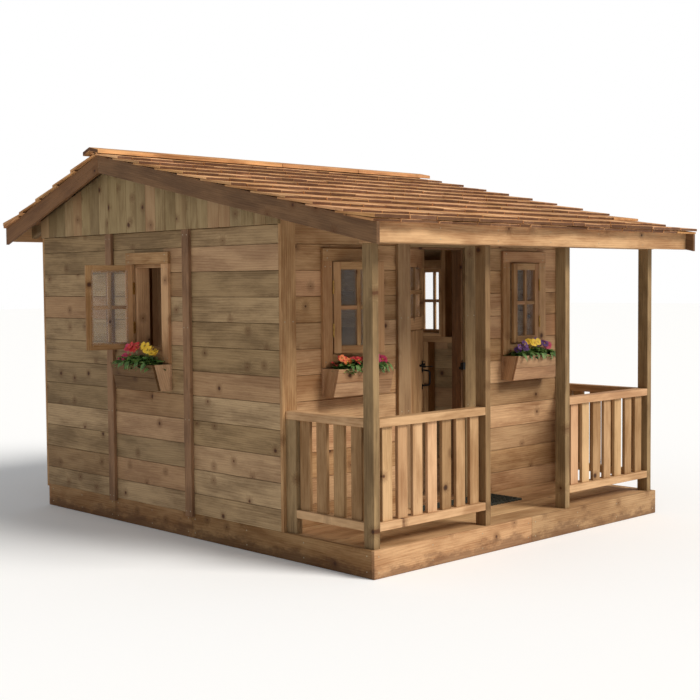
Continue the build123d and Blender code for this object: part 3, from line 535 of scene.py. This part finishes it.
for node, material, tones in (
    ("ground_runners", CEDAR_DARK, (0.1, 0.7)),
    ("floor_joists", CEDAR_PAINTED_SHADE, (0.2, 0.9)),
    ("deck_boards", CEDAR_ROSY, (0.2, 0.6)),
    ("skirt_boards", CEDAR_SKIRT, skirt_tones),
    ("left_siding", CEDAR_PAINTED_SHADE, (0.25, 1.0)),
    ("right_siding", CEDAR_PAINTED_SHADE, (0.25, 1.0)),
    # Raised tones for the front wall: painted light that lifts it out of the porch roof's shadow.
    ("front_siding", CEDAR, (0.45, 1.1)),
    ("rear_siding", CEDAR_PAINTED_SHADE, (0.25, 1.0)),
    ("wall_framing", CEDAR, (0.3, 0.9)),
    ("wall_battens", CEDAR_DARK, (0.9, 1.2)),
    ("corner_boards", CEDAR, (0.25, 0.6)),
    ("gable_boards", CEDAR_GABLE, (0.5, 0.9)),
    ("gable_studs", CEDAR, (0.3, 0.8)),
    # Rafters, lookout blocks and sheathing take dark colours and low tones: painted shade under the eaves.
    ("rafters", CEDAR_PAINTED_SHADE, (0.0, 0.6)),
    ("lookout_blocks", CEDAR_DARK, (0.0, 0.4)),
    ("roof_beams", CEDAR, (0.5, 0.9)),
    ("roof_sheathing", CEDAR_DARK, (0.2, 0.6)),
    ("ridge_cap", SHINGLE, (0.3, 0.8)),
    ("rake_boards", CEDAR_DARK, (0.1, 0.4)),
    ("fascia_boards", CEDAR, (0.6, 0.9)),
    ("porch_posts", CEDAR_PAINTED_SHADE, post_tones),
    ("porch_rails", CEDAR_ROSY, (0.35, 0.65)),
    ("balusters", CEDAR_ROSY, baluster_tones),
    ("window_casings", CEDAR, (0.3, 0.9)),
    ("window_liners", CEDAR, (0.4, 0.9)),
    # The door casing takes the darker copy of cedar: painted shade beside the door under the porch roof.
    ("door_casing", CEDAR_PAINTED_SHADE, (0.1, 0.6)),
    ("door_jambs", CEDAR_DARK, (0.3, 0.9)),
    ("door_stops", CEDAR_DARK, (0.3, 0.9)),
    ("door_threshold", CEDAR_DARK, (0.3, 0.6)),
    ("flower_boxes", CEDAR_BOX, box_tones),
):
    boards(node, material, tones)
for side in ("left", "right", "front_left", "front_right"):
    boards(f"{side}_sash", CEDAR, (0.2, 0.6), body=f"{side}_sash")
for half in ("lower", "upper"):
    boards(f"{half}_door_leaf", CEDAR, (0.4, 0.9), body=f"{half}_door")


# ---------------------------------------------------------------- shingles
SHINGLE_THICK = 0.010    # at its upper end; the butt is as thick as the course leaves room for
SHINGLE_TUCK = 0.055     # how far a shingle runs on under the next course
SHINGLE_GAP = 0.0022     # between neighbours in a course
SHINGLE_WIDTHS = (0.075, 0.185)            # least and greatest
SHINGLE_LEAST = 0.07     # a shingle that would leave less than this at the end of its course takes it in
SHINGLE_WEAR = (0.72, 1.0)                 # thickness of a butt as a share of what its course leaves room for
SHINGLE_EDGE = 0.0011    # width of the worn edges
RAGGED, STARTER_RAGGED = 0.009, 0.012    # how far a course's butts stand back at random


def courses(node):
    """Each course's outline in a plane across the ridge: butt and head, each as (low, high)."""
    found = []
    for points, _ in solids_of(node):
        ends = sorted({(round(point.y, 4), round(point.z, 4)) for point in points})
        front, back = ends[:2], ends[-2:]
        outward_front = front[0][1] < back[0][1]
        butt, head = (front, back) if outward_front else (back, front)
        butt = sorted(butt, key=lambda corner: corner[1])
        head = sorted(head, key=lambda corner: corner[1])
        xs = [point.x for point in points]
        found.append((min(xs), max(xs), [Vector((0, *corner)) for corner in butt + head]))
    return found


def shingle(builder, x0, x1, corners):
    """One sawn shingle from its outline: butt low, butt high, head high, head low."""
    rows = [[builder.verts.new((x, corner.y, corner.z)) for corner in corners] for x in (x0, x1)]
    builder.faces.new(rows[0][::-1])
    builder.faces.new(rows[1])
    band(builder, rows[0], rows[1])


def shingle_row(builder, x_start, x_end, butt_low, butt_high, head_low, head_high, ragged):
    """One course of shingles of random width, from the corners of its outline."""
    slope = (head_low - butt_low).normalized()
    rise = butt_high - butt_low
    x = x_start
    while x < x_end - 0.02:
        width = rng.uniform(*SHINGLE_WIDTHS)
        if x + width > x_end - SHINGLE_LEAST:
            width = x_end - x
        back = slope * rng.uniform(0, ragged)
        thick = rng.uniform(*SHINGLE_WEAR)
        corners = [butt_low + back, butt_low + back + rise * thick, head_high, head_low]
        shingle(builder, x, x + width - SHINGLE_GAP, corners)
        x += width


def shingle_roof(node):
    """Splits a CAD node's courses into shingles, with a starter course under the lowest one."""
    builder = bmesh.new()
    rows = courses(node)
    eave = max(rows, key=lambda row: abs(row[2][0].y))
    for x0, x1, (butt_low, butt_high, head_low, head_high) in rows:
        normal = (butt_high - butt_low).normalized()
        slope = (head_low - butt_low).normalized()
        thin = normal * SHINGLE_THICK
        tuck_low = head_low + slope * SHINGLE_TUCK - thin * 0.2
        tuck_high = head_high + slope * SHINGLE_TUCK - thin * 0.5
        is_eave = butt_low == eave[2][0]
        lift = thin * (1.7 if is_eave else 1.0)
        shingle_row(builder, x0, x1, butt_low + lift, butt_high, tuck_low, tuck_high, RAGGED)
        if is_eave:
            starter_high = butt_low + thin * 1.5
            shingle_row(builder, x0, x1, butt_low + slope * 0.004, starter_high, head_low - thin * 0.6,
                        head_low + thin * 0.2, STARTER_RAGGED)
    bmesh.ops.recalc_face_normals(builder, faces=builder.faces)
    builder.verts.index_update()
    soften(builder, SHINGLE_EDGE)
    grain_layers(builder, (0.1, 0.9))
    slope_layers(builder)
    piece = new_piece(f"{node}_split", builder, SHINGLE)
    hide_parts(node)


def slope_layers(builder):
    """A shingle's grain runs up the slope, whichever of its edges is the longest."""
    grain = builder.verts.layers.float_vector["grain"]
    for group in islands(builder):
        shift = random_shift()
        ends = [vertex.co for vertex in group]
        along = max(ends, key=lambda point: point.z) - min(ends, key=lambda point: point.z)
        along -= X * along.dot(X)
        along.normalize()
        up = along.cross(X)
        for vertex in group:
            vertex[grain] = Vector((vertex.co.dot(along), vertex.co.dot(X), vertex.co.dot(up))) + shift


shingle_roof("front_shingles")
shingle_roof("rear_shingles")


# ---------------------------------------------------------------- flower boxes
SOIL_RELIEF = 0.007      # depth of the lumps


def soil_bed(node):
    """The potting soil, with its top lumpy."""
    builder = flat_faced(node)
    bmesh.ops.subdivide_edges(builder, edges=builder.edges, cuts=14, use_grid_fill=True)
    top = max(vertex.co.z for vertex in builder.verts)
    for vertex in builder.verts:
        if vertex.co.z > top - 0.001:
            lumps = noise.noise(vertex.co * 45) + 0.5 * noise.noise(vertex.co * 130)
            vertex.co.z -= SOIL_RELIEF * (1 - lumps)
    for face in builder.faces:
        face.smooth = True
    piece = new_piece("potting_soil_bed", builder, SOIL)
    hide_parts(node)


soil_bed("potting_soil")


LEAF_SHAPE = (0.25, 0.9, 1.0, 0.7, 0.05)     # half widths from base to tip, as shares of the greatest
LEAF_FOLD = 0.35                             # how far the leaf's sides rise, as a share of its half width


def leaf(builder, tone_layer, base, tip, side, bend, tone):
    """A pointed oval leaf, folded along its rib and bent down towards its tip."""
    rib = tip - base
    left, middle, right = [], [], []
    for index, share in enumerate(LEAF_SHAPE):
        along = index / (len(LEAF_SHAPE) - 1)
        centre = base + rib * along - UP * bend * along * along
        for row, offset, lift in ((left, -1, 1), (middle, 0, 0), (right, 1, 1)):
            spot = centre + side * offset * share + UP * lift * share * side.length * LEAF_FOLD
            vertex = builder.verts.new(spot)
            vertex[tone_layer] = tone
            row.append(vertex)
    for index in range(len(LEAF_SHAPE) - 1):
        for a, b in ((left, middle), (middle, right)):
            face = builder.faces.new((a[index], b[index], b[index + 1], a[index + 1]))
            face.smooth = True


PETALS = 7
# A petal's outline, starting at its root: forward, sideways and cup as shares of its reach, and heart.
PETAL_OUTLINE = (
    (0.0, 0.0, 0.0, 0.8), (0.35, 0.26, 0.08, 0.3), (0.75, 0.44, 0.16, 0.0), (1.0, 0.26, 0.12, 0.0),
    (0.93, 0.0, 0.10, 0.0), (1.04, -0.24, 0.12, 0.0), (0.75, -0.44, 0.16, 0.0), (0.35, -0.26, 0.08, 0.3),
)
PETAL_MIDDLE = (0.6, 0.08, 0.36, 0.05)      # forward, cup, share of the droop, heart
EYE_RADIUS, EYE_LOW, EYE_HIGH, EYE_SIDES = 0.16, 0.16, 0.26, 6      # the first three as shares of the radius


def blossom(builder, layers, centre, facing, radius, colour, turn):
    """Cupped, overlapping petals, each with a droop of its own, round a small raised eye."""
    petal_layer, heart_layer = layers

    def paint(vertex, heart):
        vertex[petal_layer] = colour
        vertex[heart_layer] = heart
        return vertex

    side = facing.orthogonal().normalized()
    other = facing.cross(side)
    for petal in range(PETALS):
        angle = turn + 2 * math.pi * petal / PETALS
        out = side * math.cos(angle) + other * math.sin(angle)
        across = facing.cross(out)
        reach = radius * rng.uniform(0.9, 1.08)
        root = centre + facing * radius * rng.uniform(0.0, 0.22)
        droop = rng.uniform(-0.18, 0.10)
        rim = []
        for forward, sideways, cup, heart in PETAL_OUTLINE:
            raised = cup + droop * forward * forward
            spot = root + (out * forward + across * sideways + facing * raised) * reach
            rim.append(paint(builder.verts.new(spot), heart))
        forward, cup, droop_share, heart = PETAL_MIDDLE
        spot = root + (out * forward + facing * (cup + droop * droop_share)) * reach
        middle = paint(builder.verts.new(spot), heart)
        for index, vertex in enumerate(rim):
            face = builder.faces.new((vertex, rim[(index + 1) % len(rim)], middle))
            face.smooth = True
    eye = circle(builder, centre + facing * radius * EYE_LOW, side, other, radius * EYE_RADIUS, EYE_SIDES)
    top = builder.verts.new(centre + facing * radius * EYE_HIGH)
    for vertex in eye + [top]:
        paint(vertex, 1.0)
    for index, vertex in enumerate(eye):
        builder.faces.new((vertex, eye[(index + 1) % EYE_SIDES], top))


RED = linear(214, 22, 26)
YELLOW = linear(250, 206, 28)
WHITE = linear(246, 240, 236)
PURPLE = linear(92, 34, 120)
MAGENTA = linear(206, 30, 92)
ORANGE = linear(240, 120, 30)


def sash_line(side):
    """The two ends of a sash in plan, as it stands at rest."""
    points = [Vector((point.x, point.y, 0)) for solid, _ in solids_of(f"{side}_sash") for point in solid]
    start = max(points, key=lambda point: (point - points[0]).length)
    return start, max(points, key=lambda point: (point - start).length)


def gap_in_plan(line, place):
    """How far a place is from a line between two points, seen from above."""
    start, end = line
    span = end - start
    flat = Vector((place.x, place.y, 0)) - start
    share = min(max(flat.dot(span) / span.length_squared, 0), 1)
    return (flat - span * share).length


LEAVES, FLOWERS = 380, 24    # in each box
SPILL_EVERY = 22             # each such leaf has a second one beside it that hangs over the rim
RIM_REACH = 0.034            # from the soil's front edge to the outer face of the front board's rim
LEAF_CLEAR = 0.006           # how far leaf tips stay below the sashes
HEAD_CLEAR = 0.012           # the same for the middles of the flowers
NEAR_SASH = 0.052            # flowers nearer than this to an open sash in plan stay low
NEAR_SASH_CLEAR = 0.030
LEAST_HEAD = 0.034           # lowest middle of a flower above the soil


def plants(name, low, high, outward, colours, tall, squashed_by):
    """Leaves and flowers that fill one box and spill over its rim.

    The colours follow each other along the box, and None leaves a gap. The flowers stay below the sash
    that moves over them: tall gives how much higher they may stand, and a test for where they may.
    """
    along = Vector((abs(outward.y), abs(outward.x), 0))
    centre = (low + high) / 2
    ground = high.z - 0.006
    half_length = abs((high - low).dot(along)) / 2 - 0.012
    half_depth = abs((high - low).dot(outward)) / 2
    low_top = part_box("right_sash")[0].z - 0.003
    line = sash_line(name.removesuffix("_box"))
    extra, may_stand = tall
    flowers, leaves = bmesh.new(), bmesh.new()
    tone_layer = leaves.verts.layers.float.new("tone")
    layers = (flowers.verts.layers.float_color.new("petal"), flowers.verts.layers.float.new("heart"))

    def spot(u, v, z):
        return Vector((centre.x, centre.y, 0)) + along * u + outward * v + UP * z

    rim = half_depth + RIM_REACH
    for index in range(LEAVES):
        u = rng.uniform(-half_length, half_length)
        v = rng.uniform(-half_depth * 0.75, half_depth * 1.05)
        swell = 1 - (u / half_length) ** 2 * 0.4
        root = spot(u * 0.97, v * 0.8, ground + rng.uniform(0.004, 0.058) * swell)
        angle = rng.uniform(0, 2 * math.pi)
        reach = rng.uniform(0.032, 0.062)
        heading = along * math.cos(angle) + outward * (math.sin(angle) * 0.8 + 0.2)
        tip = root + heading * reach + UP * rng.uniform(-0.016, 0.022)
        tip.z = min(tip.z, low_top - LEAF_CLEAR)
        side = (tip - root).cross(UP).normalized() * reach * rng.uniform(0.26, 0.38)
        leaf(leaves, tone_layer, root, tip, side, rng.uniform(0.002, 0.014), rng.random())
        if index % SPILL_EVERY == 0:
            root = spot(u * 0.9, rim - rng.uniform(0.014, 0.026), ground + rng.uniform(0.026, 0.040))
            tip = spot(u * 0.9 + rng.uniform(-0.03, 0.03), rim + rng.uniform(0.004, 0.014), root.z + 0.002)
            side = along * rng.uniform(0.008, 0.013)
            leaf(leaves, tone_layer, root, tip, side, rng.uniform(0.008, 0.045), rng.uniform(0.0, 0.6))

    for index in range(FLOWERS):
        u = half_length * (-0.96 + 1.92 * (index + rng.uniform(0.1, 0.9)) / FLOWERS)
        v = rng.uniform(-half_depth * 0.35, half_depth * 1.0)
        swell = 1 - (u / half_length) ** 2 * 0.5
        top = low_top + (extra if may_stand(u, v) else 0) - HEAD_CLEAR
        if gap_in_plan(line, spot(u, v, 0)) < NEAR_SASH:
            top = low_top - NEAR_SASH_CLEAR
        lowest = ground + LEAST_HEAD
        head = spot(u, v, lowest + (top - lowest) * swell * rng.uniform(0.7, 1.0))
        facing = (outward * rng.uniform(0.4, 1.2) + UP * rng.uniform(0.3, 1.0)
                  + along * rng.uniform(-0.5, 0.5)).normalized()
        band_place = (u / half_length + 1) / 2 * len(colours) + rng.uniform(-0.45, 0.45)
        colour = colours[min(max(int(band_place), 0), len(colours) - 1)]
        if colour is None:
            continue
        blossom(flowers, layers, head, facing, rng.uniform(0.018, 0.026), colour, rng.uniform(0, 6.28))
        stem_base = spot(u * 0.96, v * 0.7, ground)
        leaf(leaves, tone_layer, stem_base, head - facing * 0.003, along * 0.0016, 0.0, 0.5)
    bed_leaves = new_piece(f"{name}_leaves", leaves, LEAF)
    bed_flowers = new_piece(f"{name}_flowers", flowers, PETAL)
    for piece in (bed_leaves, bed_flowers):
        if squashed_by:
            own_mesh(piece)
    return bed_leaves


def plant_boxes():
    """Plants each flower box, known by the side of the house that its soil lies on."""
    for low, high in [extent(points) for points, _ in solids_of("potting_soil")]:
        middle = (low + high) / 2
        if middle.x < cad_box[0].x * 0.8:
            plants("left_box", low, high, Vector((-1, 0, 0)), (YELLOW, YELLOW, RED, RED, MAGENTA),
                   (0.046, lambda u, v: True), ("left_window_swing", 0.55))
        elif middle.x > cad_box[1].x * 0.8:
            plants("right_box", low, high, Vector((1, 0, 0)), (RED, WHITE, YELLOW),
                   (0.0, lambda u, v: False), None)
        elif middle.x < 0:
            first = plants("front_left_box", low, high, Vector((0, -1, 0)),
                           (RED, ORANGE, RED, RED, None, None, MAGENTA),
                           (0.024, lambda u, v: u < -0.09 and v > 0), ("front_left_window_swing", 0.7))
        else:
            plants("front_right_box", low, high, Vector((0, -1, 0)),
                   (PURPLE, PURPLE, YELLOW, YELLOW, PURPLE, MAGENTA),
                   (0.032, lambda u, v: v > 0), ("front_right_window_swing", 0.7))
    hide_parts("flower_plants")


plant_boxes()


# ---------------------------------------------------------------- door mat
MAT_SCALLOP = 0.030      # length of each scallop of the mat's rim
MAT_SHEET = 0.006        # thickness of the sheet that the rings stand on
MAT_PITCH = 0.030
MAT_RING, MAT_RING_HALF_WIDTH, MAT_RING_SIDES = 0.010, 0.0028, 12


def door_mat(node):
    """A thin rubber sheet with a scalloped rim and rows of raised rings."""
    low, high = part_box(node)
    builder = bmesh.new()
    inset = MAT_SCALLOP / 2
    base_top = low.z + MAT_SHEET
    corners = [Vector((low.x + inset, low.y + inset, 0)), Vector((high.x - inset, low.y + inset, 0)),
               Vector((high.x - inset, high.y - inset, 0)), Vector((low.x + inset, high.y - inset, 0))]
    outline = []
    for start, end in zip(corners, corners[1:] + corners[:1]):
        side = end - start
        count = round(side.length / MAT_SCALLOP)
        direction = side.normalized()
        outward = Vector((direction.y, -direction.x, 0))
        for index in range(count):
            for step in range(5):
                angle = math.pi * step / 5
                along = (index + 0.5 - 0.5 * math.cos(angle)) / count
                outline.append(start + side * along + outward * inset * math.sin(angle))
    rim = []
    for z in (low.z + 0.0005, base_top):
        rim.append([builder.verts.new((point.x, point.y, z)) for point in outline])
    builder.faces.new(rim[1])
    builder.faces.new(rim[0][::-1])
    band(builder, rim[0], rim[1])
    columns = int((high.x - low.x - 2 * inset) / MAT_PITCH)
    rows = int((high.y - low.y - 2 * inset) / MAT_PITCH)
    centre = (low + high) / 2
    for column in range(columns):
        for row in range(rows):
            x = centre.x + (column - (columns - 1) / 2) * MAT_PITCH
            y = centre.y + (row - (rows - 1) / 2) * MAT_PITCH
            mat_ring(builder, Vector((x, y, base_top)), high.z - base_top)
    piece = new_piece("door_mat_rings", builder, RUBBER)
    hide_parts(node)


def mat_ring(builder, centre, height):
    """A raised ring with sloping sides."""
    loops = []
    for offset, z in ((-1, -0.001), (-0.6, height), (0.6, height), (1, -0.001)):
        radius = MAT_RING + MAT_RING_HALF_WIDTH * offset
        loops.append(circle(builder, centre + UP * z, X, Y, radius, MAT_RING_SIDES))
    for inner, outer in zip(loops, loops[1:]):
        band(builder, outer, inner)


door_mat("door_mat")


# ---------------------------------------------------------------- screws and staples
SCREW_RADIUS, SCREW_HEIGHT, SCREW_SIDES = 0.0034, 0.0004, 10
SCREW_END, SCREW_SPACING = 0.028, 0.42   # from a board's end, and greatest distance along it
SCREW_INSET = 0.22                       # from a board's side, as a share of its width
STAPLE_LENGTH, STAPLE_WIRE, STAPLE_SIDES = 0.010, 0.0013, 6
STAPLE_INSET = 0.005                     # from the pane's edge
STAPLE_PROUD = 0.0003                    # from the pane's face to the middle of the wire
STAPLES_UPRIGHT = (-0.92, -0.62, -0.3, 0.0, 0.3, 0.62, 0.92)     # along each side of a pane, from -1 to 1
STAPLES_LEVEL = (-0.6, 0.0, 0.6)


def screw_head(builder, centre, facing):
    """A low round screw head with a sunk middle."""
    side = facing.orthogonal().normalized()
    other = facing.cross(side)
    rings = []
    for share, lift in ((1, -1), (1, 0.5), (0.75, 1), (0.3, 0.4)):
        rings.append(circle(builder, centre + facing * lift * SCREW_HEIGHT, side, other, share * SCREW_RADIUS,
                            SCREW_SIDES))
    for outer, inner in zip(rings, rings[1:]):
        band(builder, outer, inner)
    builder.faces.new(rings[-1])
    builder.faces.new(rings[0][::-1])


def screws(nodes):
    """Pairs of screw heads along the outer faces of trim boards."""
    builder = bmesh.new()
    for node in nodes:
        for points, _ in solids_of(node):
            low, high = extent(points)
            size = high - low
            thin, wide, long = sorted(range(3), key=lambda axis: size[axis])
            outer_side = (low + high)[thin] > 0
            facing = Vector()
            facing[thin] = 1.0 if outer_side else -1.0
            surface = high[thin] if outer_side else low[thin]
            run = size[long] - 2 * SCREW_END
            inset = size[wide] * SCREW_INSET
            steps = max(1, round(run / SCREW_SPACING))
            for step in range(steps + 1):
                for across in (low[wide] + inset, high[wide] - inset):
                    spot = Vector()
                    spot[thin], spot[wide] = surface, across
                    spot[long] = low[long] + SCREW_END + run * step / steps
                    screw_head(builder, spot, facing)
    new_piece("screw_heads", builder, STEEL)


def wire(builder, centre, along, outward):
    """A short wire with a round section, half sunk in the surface."""
    across = along.cross(outward)
    rings = [
        circle(builder, centre + along * STAPLE_LENGTH * end, across, outward, STAPLE_WIRE / 2, STAPLE_SIDES)
        for end in (-0.5, 0.5)
    ]
    band(builder, rings[0], rings[1])
    builder.faces.new(rings[0][::-1])
    builder.faces.new(rings[1])


def staples(side):
    """Wire staples that hold a pane to the inner face of its sash."""
    points, triangles = solids_of(f"{side}_pane")[0]
    spans = [points[corners[(k + 1) % 3]] - points[corners[k]] for corners in triangles for k in range(3)]
    width = max((span for span in spans if abs(span.z) < 1e-4), key=lambda span: span.length).normalized()
    inward = width.cross(UP)
    centre = sum(points, Vector()) / len(points)
    sash_low, sash_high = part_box(f"{side}_sash")
    if (centre - (sash_low + sash_high) / 2).dot(inward) < 0:
        inward = -inward
    half_width = max((point - centre).dot(width) for point in points) - STAPLE_INSET
    half_height = max(point.z for point in points) - centre.z - STAPLE_INSET
    surface = max((point - centre).dot(inward) for point in points) + STAPLE_PROUD
    builder = bmesh.new()
    for share in STAPLES_UPRIGHT:
        for sign in (-1, 1):
            place = width * sign * half_width + UP * share * half_height
            wire(builder, centre + place + inward * surface, UP, inward)
    for share in STAPLES_LEVEL:
        for sign in (-1, 1):
            place = width * share * half_width + UP * sign * half_height
            wire(builder, centre + place + inward * surface, width, inward)
    new_piece(f"{side}_staples", builder, STEEL, body=f"{side}_sash")


screws(("corner_boards", "wall_battens", "skirt_boards", "fascia_boards", "door_casing", "window_casings"))
for side in ("left", "right", "front_left", "front_right"):
    staples(side)


# ---------------------------------------------------------------- carried-over parts
for node, cad_object in frame["nodes"].items():
    finish = {"acrylic": ACRYLIC, "brass": BRASS, "black_iron": IRON}.get(slots[node])
    if finish:
        cad_object.data.materials.clear()
        cad_object.data.materials.append(finish)


# ---------------------------------------------------------------- floor, light and camera
FLOOR_HALF, FLOOR_GREY, FLOOR_DROP = 60, 0.92, 0.001
SKY_COLOUR, SKY_STRENGTH = (0.96, 0.98, 1.0, 1), 0.45
SUN_COLOUR, SUN_STRENGTH, SUN_ANGLE = (1.0, 0.97, 0.92), 3.3, math.radians(24)
SUN_FROM = Vector((0.30, -0.80, 0.72))
GLOW_PLACE, GLOW_POWER, GLOW_RADIUS = (0.2, 0.3, 0.7), 6.0, 0.3
CAMERA_PLACE, CAMERA_LENS = (-4.9465, -5.2044, 1.3008), 64.13
YAW, PITCH, ROLL = math.radians(43.90), math.radians(3.04), math.radians(-0.46)


def add_object(name, data):
    made = bpy.data.objects.new(name, data)
    bpy.context.scene.collection.objects.link(made)
    return made


def floor():
    builder = bmesh.new()
    bmesh.ops.create_grid(builder, x_segments=1, y_segments=1, size=FLOOR_HALF)
    mesh = bpy.data.meshes.new("floor")
    builder.to_mesh(mesh)
    builder.free()
    ground = add_object("floor", mesh)
    ground.location.z = cad_box[0].z - FLOOR_DROP
    pale = Nodes("floor_pale")
    pale.set(Base_Color=(FLOOR_GREY, FLOOR_GREY, FLOOR_GREY, 1), Roughness=1.0)
    mesh.materials.append(pale.material)


def sky():
    """A soft sky that lights the house, and plain white behind it."""
    world = bpy.data.worlds.new("studio")
    bpy.context.scene.world = world
    world.use_nodes = True
    nodes, links = world.node_tree.nodes, world.node_tree.links
    light = nodes["Background"]
    light.inputs["Color"].default_value = SKY_COLOUR
    light.inputs["Strength"].default_value = SKY_STRENGTH
    backdrop = nodes.new("ShaderNodeBackground")
    backdrop.inputs["Color"].default_value = (1, 1, 1, 1)
    paths = nodes.new("ShaderNodeLightPath")
    chosen = nodes.new("ShaderNodeMixShader")
    links.new(paths.outputs["Is Camera Ray"], chosen.inputs[0])
    links.new(light.outputs[0], chosen.inputs[1])
    links.new(backdrop.outputs[0], chosen.inputs[2])
    links.new(chosen.outputs[0], nodes["World Output"].inputs["Surface"])


def lights():
    sun = bpy.data.lights.new("key", "SUN")
    sun.energy = SUN_STRENGTH
    sun.angle = SUN_ANGLE
    sun.color = SUN_COLOUR
    add_object("key", sun).rotation_euler = SUN_FROM.to_track_quat("Z", "Y").to_euler()
    glow = bpy.data.lights.new("room_glow", "POINT")
    glow.energy = GLOW_POWER
    glow.shadow_soft_size = GLOW_RADIUS
    add_object("room_glow", glow).location = GLOW_PLACE


def camera():
    """Yaw turns to the right from straight ahead, pitch looks down, and roll turns about the view."""
    data = bpy.data.cameras.new("camera")
    data.sensor_width = 36
    data.lens = CAMERA_LENS
    data.clip_end = 200
    forward = Vector((math.sin(YAW) * math.cos(PITCH), math.cos(YAW) * math.cos(PITCH), -math.sin(PITCH)))
    level = Vector((math.cos(YAW), -math.sin(YAW), 0))
    rise = level.cross(forward)
    right = level * math.cos(ROLL) + rise * math.sin(ROLL)
    above = rise * math.cos(ROLL) - level * math.sin(ROLL)
    made = add_object("camera", data)
    turn = Matrix((right, above, -forward)).transposed().to_4x4()
    made.matrix_world = Matrix.Translation(CAMERA_PLACE) @ turn
    bpy.context.scene.camera = made


floor()
sky()
lights()
camera()
bpy.context.scene.view_settings.view_transform = "Standard"
